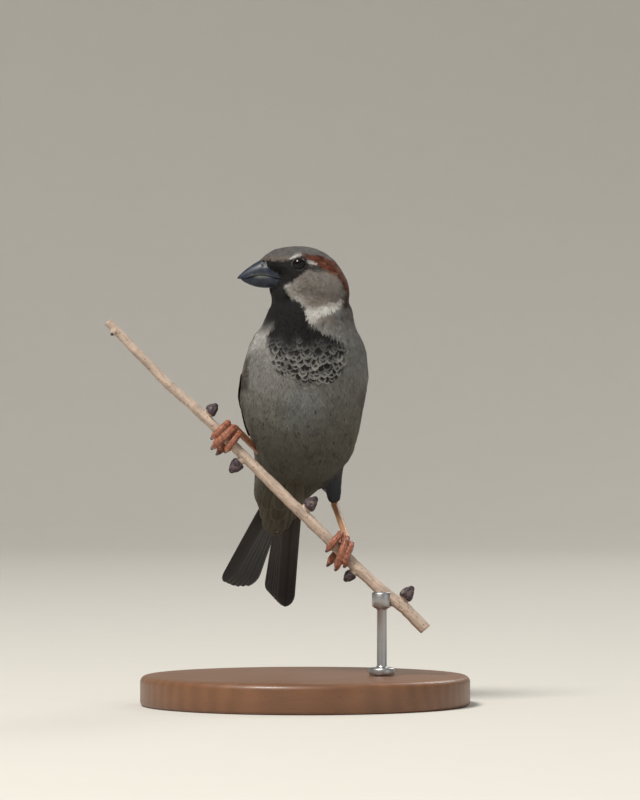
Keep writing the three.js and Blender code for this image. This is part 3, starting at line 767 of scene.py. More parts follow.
def under_tones(points):
    """The greys of the underparts, at points, darkened down the belly, on the flanks and at the vent as
    painted shade.
    """
    height = points[:, 2] / MM
    bearing = around(points)
    # The breast's grey runs down into the darker belly grey: partly the belly's own tone, partly painted
    # shade under the body.
    tone = mixed(shade("breast"), shade("belly"), soft(102.0, 82.0, height))
    cool = spot(bearing, 2.0, 28.0) * spot(height, 90.0, 14.0)
    tone = mixed(tone, shade("breast") * np.array([0.96, 1.02, 1.08]), cool * 0.7)
    # The flanks take a browner grey, their own tone, darkened further as painted shade on the lower sides.
    flank_tint_and_shade = soft(35.0, 75.0, np.abs(bearing - 4.0)) * soft(100.0, 88.0, height)
    tone = mixed(tone, shade("belly") * np.array([0.9, 0.84, 0.74]), flank_tint_and_shade * 0.7)
    # Painted shade: the lower belly darkened where the body turns under.
    tone = mixed(tone, shade("belly") * np.array([0.62, 0.58, 0.53]), soft(88.0, 72.0, height) * 0.8)
    # The vent colour is the vent's own buff-grey darkened as painted shade under the tail.
    tone = mixed(tone, shade("vent"), soft(70.0, 63.0, height))
    pale = spot(bearing, -68.0, 40.0) * spot(height, 111.5, 7.0)
    tone = mixed(tone, shade("white"), pale * 0.75)
    mottle = cloud(points, 3.2 * MM) * 0.06 + cloud(points, 1.5 * MM) * 0.07
    return tone * (1.0 + mottle)[:, None]


def plumage(points, normals, wing, thigh):
    """The colours of the coat at points: the vane, its tip and its shaft, with the share of each."""
    height = points[:, 2] / MM
    dorsal = normals @ RISE
    tone = under_tones(points)
    above = soft(0.05, 0.42, dorsal - 0.2 * soft(98.0, 105.0, height)) * soft(120.0, 112.0, height)
    upper = mixed(shade("mantle"), shade("rump"), soft(80.0, 72.0, height))
    upper = mixed(upper, shade("rump") * 0.95, soft(106.0, 114.0, height) * 0.8)
    tone = mixed(tone, upper, above)
    streaked = above * soft(72.0, 80.0, height) * soft(113.0, 107.0, height)
    shaft = mixed(tone * 0.66, shade("streak"), streaked)
    shaft_share = 0.34 + 0.6 * streaked
    tip = mixed(tone * 1.1, shade("edge"), streaked * 0.8)
    tip_share = 0.35 + streaked * 0.15
    along = down_wing(points)
    shoulder = wing * soft(24.0, 20.0, along) * (1.0 - scapular_share(points))
    low = soft(0.3, 0.12, up_wing(points))
    tone = mixed(tone, mixed(shade("chestnut"), shade("streak"), low), shoulder)
    tip = mixed(tip, mixed(shade("chestnut") * 1.5, shade("streak") * 1.4, low), shoulder)
    shaft = mixed(shaft, shade("chestnut") * 0.5, shoulder)
    outer = wing * soft(20.0, 24.0, along) * (1.0 - scapular_share(points))
    tone = mixed(tone, shade("flight"), outer)
    on_head = soft(111.0, 117.0, height)
    painted = head_tones(points, tone)
    tone = mixed(tone, painted, on_head)
    tip = mixed(tip, painted * 1.12, on_head)
    shaft = mixed(shaft, painted * 0.72, on_head)
    shaft_share = shaft_share * (1.0 - on_head * 0.4)
    tone = mixed(tone, shade("tibia"), thigh)
    tip = mixed(tip, shade("tibia") * 1.25, thigh)
    black = throat_share(points)
    loose = soft(112.5, 104.5, height + cloud(points, 2.0 * MM) * 2.0)
    tone = mixed(tone, shade("black"), black)
    scallop = black * loose
    tip = mixed(tip, shade("black") * 1.3, black * (1.0 - loose))
    tip = mixed(tip, shade("breast") * (1.02 + 0.4 * cloud(points, 2.0 * MM))[:, None], scallop)
    tip_share = np.maximum(tip_share, scallop)
    shaft = mixed(shaft, shade("black"), black)
    across = points[:, 0] / MM
    edge = soft(16.3, 17.3, across) * soft(84.5, 87.0, height) * soft(97.0, 94.5, height)
    other = soft(-16.8, -17.6, across) * soft(94.0, 96.0, height) * soft(109.0, 107.0, height)
    edge = np.maximum(edge * 0.6, other) * soft(0.25, 0.1, dorsal) * 0.85
    tone = mixed(tone, shade("streak") * 1.3, edge)
    tip = mixed(tip, shade("edge") * 0.4, edge)
    return {
        "tone": tone,
        "tip": tip,
        "tip_share": tip_share,
        "shaft": shaft,
        "shaft_share": shaft_share,
        "scallop": scallop,
    }


# ---------------------------------------------------------------- the feathers


def pattern_of(bm):
    """A flat feather's vertices and faces as arrays, from a bmesh, which is freed."""
    bm.verts.ensure_lookup_table()
    flat = np.array([v.co[:] for v in bm.verts])
    faces = np.array([[v.index for v in f.verts] for f in bm.faces])
    bm.free()
    return flat, faces


def vane_pattern(barbs, sweep, fray, wide=0.56):
    """One feather lying flat: across from -1 to 1, along from 0 to 1, its barbs split at their ends."""
    bm = bmesh.new()
    bmesh.ops.create_grid(bm, x_segments=2, y_segments=barbs, size=1.0)
    for vert in bm.verts:
        vert.co.y = (vert.co.y + 1.0) / 2.0
    level = [e for e in bm.edges if abs(e.verts[0].co.y - e.verts[1].co.y) < 1e-5]
    inner = [e for e in level if 1e-3 < e.verts[0].co.y < 1.0 - 1e-3]
    bmesh.ops.split_edges(bm, edges=inner)
    for face in bm.faces:
        rim = sorted((v for v in face.verts if abs(v.co.x) > 0.5), key=lambda v: v.co.y)
        low, high = (v.co.y for v in rim)
        split = fray * min(1.0, low * 1.6)
        for vert, start in zip(rim, (low, high - split * (high - low))):
            reach = start * (1.0 - sweep) + sweep
            bulge = max(0.0, 1.0 - ((reach - 0.52) / wide) ** 2) ** 0.5
            vert.co.x = math.copysign(max(bulge, 0.04), vert.co.x)
            vert.co.y = reach
    for vert in bm.verts:
        if abs(vert.co.x) < 1e-3:
            vert.co.y *= 1.0 - 0.8 * sweep
    return pattern_of(bm)


def gap_squared(first, second):
    """The square of the distance between two places."""
    gap = first - second
    return gap[0] * gap[0] + gap[1] * gap[1] + gap[2] * gap[2]


def sown(points, faces, room, seed):
    """Roots scattered over a skin so that each has the room it needs: face numbers and places."""
    random = np.random.default_rng(seed)
    triangles = np.concatenate([faces[:, [0, 1, 2]], faces[:, [0, 2, 3]]])
    owner = np.concatenate([np.arange(len(faces))] * 2)
    a, b, c = (points[triangles[:, k]] for k in range(3))
    area = np.linalg.norm(np.cross(b - a, c - a), axis=1) / 2.0
    need = room[triangles].mean(axis=1)
    weight = area / np.maximum(need, 1e-5) ** 2 * (need > 0.0)
    tries = int(weight.sum() * 5.0)
    chosen = random.choice(len(triangles), tries, p=weight / weight.sum())
    u, v = random.random((2, tries))
    fold = u + v > 1.0
    u[fold], v[fold] = 1.0 - u[fold], 1.0 - v[fold]
    places = a[chosen] + (b - a)[chosen] * u[:, None] + (c - a)[chosen] * v[:, None]
    space = need[chosen] * 0.86
    cell = 2.2 * MM
    grid = {}
    kept = []
    keys = np.floor(places / cell).astype(int)
    for number in range(tries):
        x, y, z = keys[number]
        place = places[number]
        reach = space[number] ** 2
        cells = itertools.product((x - 1, x, x + 1), (y - 1, y, y + 1), (z - 1, z, z + 1))
        near = (other for key in cells for other in grid.get(key, ()))
        if all(gap_squared(place, places[other]) >= reach for other in near):
            grid.setdefault((x, y, z), []).append(number)
            kept.append(number)
    return owner[chosen[kept]], places[kept]


def round_pattern(columns, rows):
    """One broad feather lying flat, with a round end."""
    bm = bmesh.new()
    bmesh.ops.create_grid(bm, x_segments=columns, y_segments=rows, size=1.0)
    for vert in bm.verts:
        along = 1.0 - (0.5 - vert.co.y / 2.0) ** 1.4
        bulge = max(0.1, 1.0 - (max(0.0, along - 0.66) / 0.34) ** 2) ** 0.5
        vert.co.y = along - 0.05 * vert.co.x**2 * along**2
        vert.co.x *= bulge * (0.5 + 0.5 * min(1.0, along / 0.4))
    return pattern_of(bm)


class Form:
    """The bird's outside without its bill and flight feathers, as an even mesh that the coat follows."""

    thighs = ["thigh_left", "thigh_right"]
    wings = [f"wing_{side}_{part}" for side in SIDES for part in ("coverts", "secondaries")]
    flesh = ["head", "neck", "trunk", "tail_coverts", *thighs, *wings]

    def __init__(self):
        bm = merged_copy(self.flesh, 0.22 * MM)
        filler = merged_copy(["eye_left", "eye_right", "bill_upper", "bill_lower"], 0.12 * MM)
        add_mesh(bm, mesh_of(filler, "holder"))
        self.mesh = remeshed("form", bm, sizes().skin_voxel)
        relax(self.mesh, 16)
        set_points(self.mesh, get_points(self.mesh) - get_normals(self.mesh) * 0.25 * MM)
        self.flatten_sockets()
        self.taper_face()
        relax(self.mesh, 4)
        self.points = get_points(self.mesh)
        self.normals = get_normals(self.mesh)
        self.edges = get_edges(self.mesh)
        self.faces = np.array([p.vertices[:] for p in self.mesh.polygons])
        self.tree = tree_of(self.mesh)
        self.wing = self.share_of(self.wings, 1.1, 0.5)
        height = self.points[:, 2] / MM
        facing = self.normals @ BODY.rows[1]
        limit = np.interp(height, [88, 96, 104], [-0.45, -0.3, 0.0])
        self.wing = self.wing * soft(0.0, 0.16, facing - limit)
        self.wing = self.wing * soft(0.03, 0.1, up_wing(self.points)) * soft(110.0, 106.0, height)
        self.thigh = self.share_of(self.thighs, 1.1, 0.4)
        body = BODY.inside(self.points)
        low = np.where(body[:, 0] > 0.0, soft(76.0, 71.0, height), soft(81.5, 79.0, height))
        self.thigh = self.thigh * low
        ahead, aside, above = HEAD.inside(self.points).T
        self.bill = soft(-0.25, 0.25, ahead - bill_line(above)) * (ahead > 9.0) * (above > -6.0)
        self.from_eye = np.hypot(ahead - EYE[0], above - EYE[1]) + 40.0 * (np.abs(aside) < 5.0)
        self.lie = self.laid()
        self.depth = self.coat_depth()

    def share_of(self, names, far, near):
        """How far each vertex belongs to some CAD nodes: 1 when near them, 0 when far."""
        return soft(far, near, distances(tree_of_nodes(names), self.points))

    def taper_face(self):
        """Draws the front of the head in to the bill, furthest back at the corners of the gape."""
        inside = HEAD.inside(get_points(self.mesh))
        ahead, aside, above = inside.T
        line = bill_line(above)
        own = bill_reach(ahead, aside, above)
        reach = np.hypot(aside, above - BILL_EDGE)
        room = 0.2 + 6.0 * soft(line - 0.1, line - 4.4, ahead) ** 1.3
        scale = np.minimum(1.0, (own + room) / np.maximum(reach, 0.1))
        scale = 1.0 + (scale - 1.0) * soft(4.5, 6.5, ahead) * soft(-9.5, -6.0, above)
        inside[:, 1] = aside * scale
        inside[:, 2] = BILL_EDGE + (above - BILL_EDGE) * scale
        set_points(self.mesh, HEAD.outside(inside))

    def flatten_sockets(self):
        """Brings the head's side level across each eye, so that the lids lie on it."""
        points = get_points(self.mesh)
        inside = HEAD.inside(points)
        for sign in (1.0, -1.0):
            reach = np.hypot(inside[:, 0] - EYE[0], inside[:, 2] - EYE[1])
            facing = inside[:, 1] * sign > 4.0
            rim = facing & (reach > 3.1) & (reach < 4.4)
            ahead, _, above = inside.T
            terms = np.stack([ahead, above, above**2, np.ones(len(inside))], axis=1)
            fit = np.linalg.lstsq(terms[rim], inside[rim, 1] * sign, rcond=None)[0]
            level = terms @ fit
            share = soft(3.6, 2.8, reach) * facing
            inside[:, 1] += share * (level * sign - inside[:, 1])
        set_points(self.mesh, HEAD.outside(inside))

    def laid(self):
        """The way the feathers lie at each vertex."""
        height = self.points[:, 2] / MM
        ahead, _, above = HEAD.inside(self.points).T
        from_bill = unit(self.points - HEAD.outside([13.5, 0.0, 1.0]))
        from_bill = from_bill - UP * soft(2.0, -9.0, ahead)[:, None] * 1.3
        from_bill = from_bill - UP * soft(-3.0, -9.0, above)[:, None] * 0.7
        lie = mixed(tailward(height), unit(from_bill), soft(114.0, 121.5, height))
        for side in SIDES:
            down = middle(f"tarsus_{side}") - middle(f"thigh_{side}")
            here = self.thigh * (BODY.inside(self.points)[:, 0] * (1 if side == "left" else -1) > 0)
            lie = mixed(lie, unit(down), here)
        lie = flattened(lie, self.normals)
        for _ in range(12):
            lie = flattened(averaged(lie, self.edges), self.normals)
        radial = np.stack([ahead - EYE[0], np.zeros(len(ahead)), above - EYE[1]], axis=1) @ HEAD.rows
        lie = lie + unit(radial) * (soft(4.2, 2.0, self.from_eye) * 1.1)[:, None]
        return flattened(lie, self.normals)

    def coat_depth(self):
        """How deep the coat is at each vertex, in metres."""
        height = self.points[:, 2] / MM
        body, head = sizes().coat_body, sizes().coat_head
        depth = body + (head - body) * soft(111.0, 121.0, height)
        depth = depth * (1.0 - 0.45 * self.thigh) * (1.0 - 0.4 * self.wing)
        depth = depth * (1.0 - 0.55 * soft(4.0, 2.4, self.from_eye)) * (1.0 - 0.5 * self.bill)
        thick = np.empty(len(depth))
        for number, (point, normal) in enumerate(zip(self.points, self.normals)):
            start = Vector(point - normal * 0.00005)
            hit = self.tree.ray_cast(start, Vector(-normal), 0.02)
            thick[number] = hit[3] if hit[0] is not None else 0.02
        return np.minimum(depth, thick * 0.28) + self.bill * 0.7 * MM

    def room(self):
        """The room that a feather takes at each vertex, in metres; none where the form is bare."""
        height = self.points[:, 2] / MM
        ahead = HEAD.inside(self.points)[:, 0]
        dorsal = self.normals @ RISE
        front = np.interp(height, [52, 66, 84, 100, 112, 118], [1.4, 1.15, 1.05, 1.0, 0.85, 0.8])
        rear = np.interp(height, [58, 80, 104, 118], [1.6, 2.0, 1.6, 0.9])
        space = front + (rear - front) * soft(0.0, 0.4, dorsal)
        bib = throat_share(self.points) * soft(112.0, 109.5, height)
        space = space + (1.2 - space) * bib
        on_head = soft(115.0, 121.0, height)
        face = soft(2.0, 9.5, ahead)
        small = 0.68 - 0.24 * face
        small = np.minimum(small, 0.38 + 0.3 * soft(2.4, 5.5, self.from_eye))
        space = space + (small - space) * on_head
        space = space + (0.95 - space) * self.thigh
        along = down_wing(self.points)
        scapular = scapular_share(self.points) > 0.5
        shoulder = self.wing * soft(28.0, 22.0, along) * ~scapular
        space = space + (1.25 - space) * shoulder
        bare = (self.bill > 0.5) | (self.from_eye < 2.05) | (self.wing > 0.6) & (along > 21.0) & ~scapular
        return np.where(bare, 0.0, space * MM * sizes().spread)


FORM = {}


def form():
    """The one form of this run, made when first asked for."""
    if "form" not in FORM:
        FORM["form"] = Form()
    return FORM["form"]


def unwrapped(points):
    """Where points of the skin lie on its own unwrap: around the body and along it, head included."""
    height = points[:, 2] / MM
    ahead, aside, above = HEAD.inside(points).T
    turn = np.arctan2(aside, above) / (2.0 * math.pi) + 0.5
    run = (14.0 - ahead) / 30.0
    bearing = around(points) / 360.0 + 0.5
    fall = (118.0 - height) / 72.0
    head = height > HEAD_FROM
    across = np.where(head, turn, bearing)
    along = np.where(head, 0.66 + 0.32 * run, 0.02 + 0.62 * fall)
    return np.stack([np.clip(across, 0.004, 0.996), np.clip(along, 0.004, 0.996)], axis=1)


def joined(name, places, flat, faces, colours, roots):
    """One mesh of many copies of a pattern, with their places, colours and bake patches."""
    copies, size = places.shape[:2]
    mesh = bpy.data.meshes.new(name)
    corner_rows = (faces[None] + (np.arange(copies) * size)[:, None, None]).reshape(-1, faces.shape[1])
    mesh.vertices.add(copies * size)
    mesh.vertices.foreach_set("co", places.reshape(-1).astype(np.float32))
    mesh.loops.add(corner_rows.size)
    mesh.loops.foreach_set("vertex_index", corner_rows.reshape(-1).astype(np.int32))
    mesh.polygons.add(len(corner_rows))
    starts = np.arange(len(corner_rows), dtype=np.int32) * faces.shape[1]
    mesh.polygons.foreach_set("loop_start", starts)
    mesh.update(calc_edges=True)
    patch = (flat[:, :2] * np.array([0.5, 1.0]) - np.array([0.0, 0.5])) * PATCH
    maps = (roots[:, None, :] + patch[None]).reshape(-1, 2)
    layer = mesh.uv_layers.new(name="OFBake")
    layer.data.foreach_set("uv", maps[corner_rows.reshape(-1)].reshape(-1).astype(np.float32))
    set_colours(mesh, "tint", colours.reshape(-1, 3))
    set_numbers(mesh, "across", np.tile(np.abs(flat[:, 0]), copies))
    set_numbers(mesh, "along", np.tile(flat[:, 1], copies))
    mesh.validate()
    shade_smooth(mesh)
    return new_object(name, mesh)


def painted(flat, look, jitter):
    """Each copy's vertex colours, from its look: shaft, vane and tip."""
    across, along = flat[:, 0], flat[:, 1]
    tone = np.repeat(look["tone"][:, None], len(flat), axis=1)
    share = look["shaft_share"][:, None]
    line = np.exp(-((across / (0.16 + 0.42 * share)) ** 2))
    share = share * line * soft(1.04, 0.42 + 0.45 * share, along[None])
    tone = tone + (look["shaft"][:, None] - tone) * share[..., None]
    late = soft(0.5, 0.9, look["shaft_share"])[:, None]
    rim = soft(0.62 + 0.14 * late, 0.95 + 0.05 * late, (along + 0.18 * np.abs(across) ** 2)[None])
    out = np.hypot(across, np.maximum(0.0, along - 0.66) / 0.34)
    fringe = np.clip(0.48 + 0.4 * jitter, 0.05, 1.0)[:, None]
    thin = soft(0.66 - 0.36 * fringe, 0.96 - 0.26 * fringe, out[None]) * soft(0.5, 0.7, along[None])
    rim = rim + (thin - rim) * look["scallop"][:, None]
    share = look["tip_share"][:, None] * rim
    tone = tone + (look["tip"][:, None] - tone) * share[..., None]
    # Each feather is darker towards its root: the grey down of its base, deepened as painted shade where
    # feathers overlap.
    root = 0.75 + 0.25 * soft(0.05, 0.55, along)
    tone = tone * root[None, :, None] * (1.0 + jitter[:, None, None] * 0.1)
    return np.clip(tone, 0.0, 1.0)


class Coat:
    """All the small feathers: where their roots are, how they lie, and their colours."""

    def __init__(self):
        skin = form()
        room = skin.room()
        owner, roots = sown(skin.points, skin.faces, room, ROOT_SEED)
        faces = skin.faces[owner]
        random = np.random.default_rng(COAT_SEED)
        self.normal = unit(skin.normals[faces].mean(axis=1))
        lie = skin.lie[faces].mean(axis=1)
        side = np.cross(self.normal, lie)
        sway = random.normal(0.0, 0.13, len(roots))
        self.lie = flattened(unit(lie + side * sway[:, None]), self.normal)
        self.side = np.cross(self.normal, self.lie)
        self.root = roots
        self.depth, self.room, self.wing, self.thigh = (
            values[faces].mean(axis=1) for values in (skin.depth, room, skin.wing, skin.thigh)
        )
        self.long = self.room * 4.0 * (1.0 + random.normal(0.0, 0.08, len(roots)))
        self.wide = self.room * 1.9 * (1.0 + random.normal(0.0, 0.06, len(roots)))
        vent = soft(68.0, 60.0, roots[:, 2] / MM)
        self.long = self.long * (1.0 + 0.5 * vent)
        upper = soft(0.1, 0.4, self.normal @ RISE) * soft(116.0, 108.0, roots[:, 2] / MM)
        self.long = self.long * (1.0 + 0.3 * self.thigh - 0.3 * upper)
        self.jitter = random.normal(0.0, 1.0, len(roots))
        self.lift = np.abs(random.normal(0.0, 0.03, len(roots))) * MM
        along = down_wing(roots)
        over = scapular_share(roots) * soft(60.0, 46.0, along) * soft(4.0, 16.0, along)
        over = over * soft(0.1, 0.35, self.normal @ RISE)
        self.lift = self.lift + over * MM
        shown = self.root + self.lie * (self.long * 0.62)[:, None]
        self.look = plumage(shown, self.normal, self.wing, self.thigh)
        self.wide = self.wide * (1.0 + 0.3 * soft(0.2, 0.6, self.look["scallop"]))
        self.look["tip_share"] = self.look["tip_share"] * (1.0 - 0.4 * random.random(len(roots)))
        self.sheet = unwrapped(self.root)

    def piece(self, name, chosen, flat, faces):
        """One mesh of the chosen feathers, laid over the form."""
        chosen = np.nonzero(chosen)[0]
        random = np.random.default_rng(len(chosen))
        stray = random.normal(0.0, 1.0, (2, len(chosen), len(flat))) * np.abs(flat[:, 0])
        along = (flat[:, 1] + stray[0] * 0.02)[..., None] * self.long[chosen][:, None, None]
        across = (flat[:, 0] * (1.0 + stray[1] * 0.07))[..., None] * self.wide[chosen][:, None, None] * 0.5
        root, lie, side = (rows[chosen][:, None] for rows in (self.root, self.lie, self.side))
        places = root + lie * along + side * across
        ground, normals = nearest(form().tree, places.reshape(-1, 3))
        ground = ground.reshape(places.shape)
        normals = normals.reshape(places.shape)
        rise = (0.1 + 0.9 * flat[:, 1] ** 0.3)[None] - 1.0
        height = rise * self.depth[chosen][:, None]
        height = height + self.lift[chosen][:, None] * flat[:, 1][None] ** 1.3
        height = height - (flat[:, 0] ** 2)[None] * self.room[chosen][:, None] * 0.05
        laid = ground + normals * height[..., None]
        sides = np.stack([faces, np.roll(faces, -1, axis=1)], axis=-1).reshape(-1, 2)
        before, after = (
            np.linalg.norm(spots[:, sides[:, 0]] - spots[:, sides[:, 1]], axis=2)
            for spots in (places, laid)
        )
        whole = np.max(after / np.maximum(before, 0.2 * MM), axis=1) < 2.4  # none stretched over a gap
        laid, chosen = laid[whole], chosen[whole]
        look = {key: value[chosen] for key, value in self.look.items()}
        colours = painted(flat, look, self.jitter[chosen])
        return joined(name, laid, flat, faces, colours, self.sheet[chosen])


# ----------------------------------------------------------- the flight feathers


def sheet_pattern(columns, rows):
    """A long vane's flat grid: across from -1 to 1 and along from 0 to 1."""
    bm = bmesh.new()
    bmesh.ops.create_grid(bm, x_segments=columns, y_segments=rows, size=1.0)
    flat, faces = pattern_of(bm)
    flat[:, 1] = (flat[:, 1] + 1.0) / 2.0
    return flat, faces


def vane_width(along, root=0.35, tip=0.13):
    """A long vane's width by its length, from a narrow root to a round tip."""
    grown = root + (1.0 - root) * soft(0.0, 0.4, along)
    ending = np.clip((along - (1.0 - tip)) / tip, 0.0, 1.0)
    return grown * np.sqrt(np.maximum(1.0 - ending**2, 0.0004))


def smoothed(places, faces):
    """A vane's vertices, each drawn to the middle of its neighbours in depth."""
    for _ in range(3):
        total = np.zeros(len(places))
        count = np.zeros(len(places))
        core = places[faces, 1].mean(axis=1)
        for corner in range(faces.shape[1]):
            np.add.at(total, faces[:, corner], core)
            np.add.at(count, faces[:, corner], 1.0)
        places[:, 1] = total / np.maximum(count, 1.0)
    return places


def wing_nodes(side):
    """The names of a folded wing's three CAD nodes."""
    return [f"wing_{side}_{part}" for part in ("coverts", "secondaries", "primaries")]


class Wing:
    """One folded wing's own map: along it from the wrist, and up it from its lower edge."""

    def __init__(self, side, tree):
        self.tree = tree
        self.out = BODY.rows[0] * (1.0 if side == "left" else -1.0)
        points = np.concatenate([corners(name) for name in wing_nodes(side)])
        away = points - WRIST
        along = away @ CHORD / MM
        turn = np.arctan2(away @ RISE, away @ self.out)
        self.rows = np.arange(-2.0, 80.0, 6.0)
        near = [np.abs(along - row) < 6.5 for row in self.rows]
        self.low = np.array([turn[n].min() for n in near])
        self.high = np.array([turn[n].max() for n in near])

    def place(self, along, share, across=0.0):
        """A place on the wing: millimetres along, a share up, and a distance across; with its normal."""
        low = np.interp(along, self.rows, self.low)
        high = np.interp(along, self.rows, self.high)
        turn = low + (high - low) * share
        axis = WRIST + CHORD * along * MM
        if across:
            centre, _ = self.cast(axis, turn)
            turn = turn + across / max(np.linalg.norm(centre - axis), 3.0 * MM)
        return self.cast(axis, turn)

    def cast(self, axis, turn):
        """Where a ray towards the wing's axis meets its outside."""
        away = self.out * math.cos(turn) + RISE * math.sin(turn)
        start = Vector(axis + away * 0.05)
        hit = self.tree.ray_cast(start, Vector(-away), 0.05)
        if hit[0] is None:
            hit = self.tree.find_nearest(Vector(axis + away * 0.011))
        normal = np.array(hit[1])
        if normal @ away < 0.0:
            normal = away
        return np.array(hit[0]), unit(normal + away * 0.6)


class Vanes:
    """Long feathers gathered for one piece."""

    def __init__(self, columns=6, rows=16):
        self.flat, self.faces = sheet_pattern(columns, rows)
        self.flat[:, 1] = 1.0 - (1.0 - self.flat[:, 1]) ** 1.7
        self.places = []
        self.colours = []

    def add(self, places, colours):
        """Adds one feather's vertices and their colours."""
        self.places.append(places)
        self.colours.append(np.clip(colours, 0.0, 1.0))

    def piece(self, name, thickness):
        """One mesh of all the gathered feathers, given a thin body."""
        count = len(self.places)
        across = int(math.ceil(math.sqrt(count)))
        grid = np.array([((k % across + 0.5) / across, (k // across + 0.5) / across) for k in range(count)])
        item = joined(name, np.array(self.places), self.flat, self.faces, np.array(self.colours), grid)
        maps = item.data.uv_layers["OFBake"]
        flat = read(maps.data, "uv", 2)
        core = np.repeat(grid, self.faces.size, axis=0)
        flat = core + (flat - core) * (0.9 / across / PATCH)
        maps.data.foreach_set("uv", flat.ravel().astype(np.float32))
        modifier = item.modifiers.new("body", "SOLIDIFY")
        modifier.thickness = thickness
        modifier.offset = 0.0
        return item


def long_tones(flat, main, rim, shaft, rim_width=0.2, tip_share=1.0, seed=0):
    """A long vane's colours: its main tone, its paler edges and its dark shaft."""
    across, along = flat[:, 0], flat[:, 1]
    edge = soft(1.0 - rim_width * 1.6, 1.0 - rim_width * 0.5, np.abs(across))
    end = soft(0.93, 0.985, along) * tip_share
    coarse = 0.05 * np.sin(along * 37.0 + across * 5.0 + seed)
    grain = 1.0 + coarse + 0.04 * np.sin(along * 91.0 + seed * 2.0)
    tone = mixed(np.repeat(main[None], len(flat), axis=0), rim, np.maximum(edge, end))
    tone = mixed(tone, shaft, np.exp(-((across / 0.07) ** 2)) * 0.8)
    return tone * grain[:, None]


def wing_vane(wing, flat, start, end, width, height, tilt, root=0.35, tip=0.13):
    """A long feather's vertices, laid on a wing from one place to another."""
    places = []
    for across, along, _ in flat:
        here = start[0] + (end[0] - start[0]) * along
        share = start[1] + (end[1] - start[1]) * along**0.85
        reach = across * width * 0.5 * float(vane_width(np.array(along), root, tip))
        place, normal = wing.place(here, share, reach)
        lift = height * (0.35 + 0.65 * along) - tilt * across - 0.1 * MM * across**2
        places.append(place + normal * lift)
    return np.array(places)


# ------------------------------------------------------------------ operators


class SPARROW_OT_skin(bpy.types.Operator):
    """Makes the one skin that stands for the bird's fleshy CAD nodes"""

    bl_idname = "sparrow.skin"
    bl_label = "Skin"

    def execute(self, context):
        skin = form()
        mesh = skin.mesh.copy()
        mesh.name = "skin"
        set_points(mesh, skin.points - skin.normals * skin.depth[:, None])
        relax(mesh, 2)
        look = plumage(skin.points, skin.normals, skin.wing, skin.thigh)
        share = look["shaft_share"] * 0.25
        set_colours(mesh, "tint", mixed(look["tone"], look["shaft"], share))
        placed("skin", mesh, skin_finish(), "body_feathers", *Form.flesh)
        return {"FINISHED"}


class SPARROW_OT_coat(bpy.types.Operator):
    """Lays the small feathers of the head, the body, the legs and the shoulders over the skin"""

    bl_idname = "sparrow.coat"
    bl_label = "Small feathers"

    def execute(self, context):
        coat = Coat()
        fine = vane_pattern(6, 0.4, 0.6)
        loose = vane_pattern(8, 0.42, 0.7)
        broad = round_pattern(6, 8)
        firm = vane_pattern(8, 0.38, 0.6)
        height = coat.root[:, 2] / MM
        dorsal = coat.normal @ RISE
        bib = coat.look["scallop"] > 0.12
        head = (height > HEAD_FROM) & ~bib
        shoulder = ~head & (coat.wing > 0.5) & (dorsal < 0.75)
        leg = ~head & (coat.thigh > 0.5)
        back = ~head & ~shoulder & ~leg & (dorsal > 0.1)
        front = ~head & ~shoulder & ~leg & ~back & ~bib
        finish = plumage_finish("small_feathers")
        parts = {
            "coat_head": (head, fine),
            "coat_bib": (bib, broad),
            "coat_breast": (front & (height >= BELLY_BELOW), loose),
            "coat_belly": (front & (height < BELLY_BELOW), loose),
            "coat_back": (back, firm),
            "coat_shoulders": (shoulder, fine),
            "coat_legs": (leg, fine),
        }
        for name, (chosen, pattern) in parts.items():
            item = coat.piece(name, chosen, *pattern)
            finished(item, finish, "body_feathers")
        return {"FINISHED"}


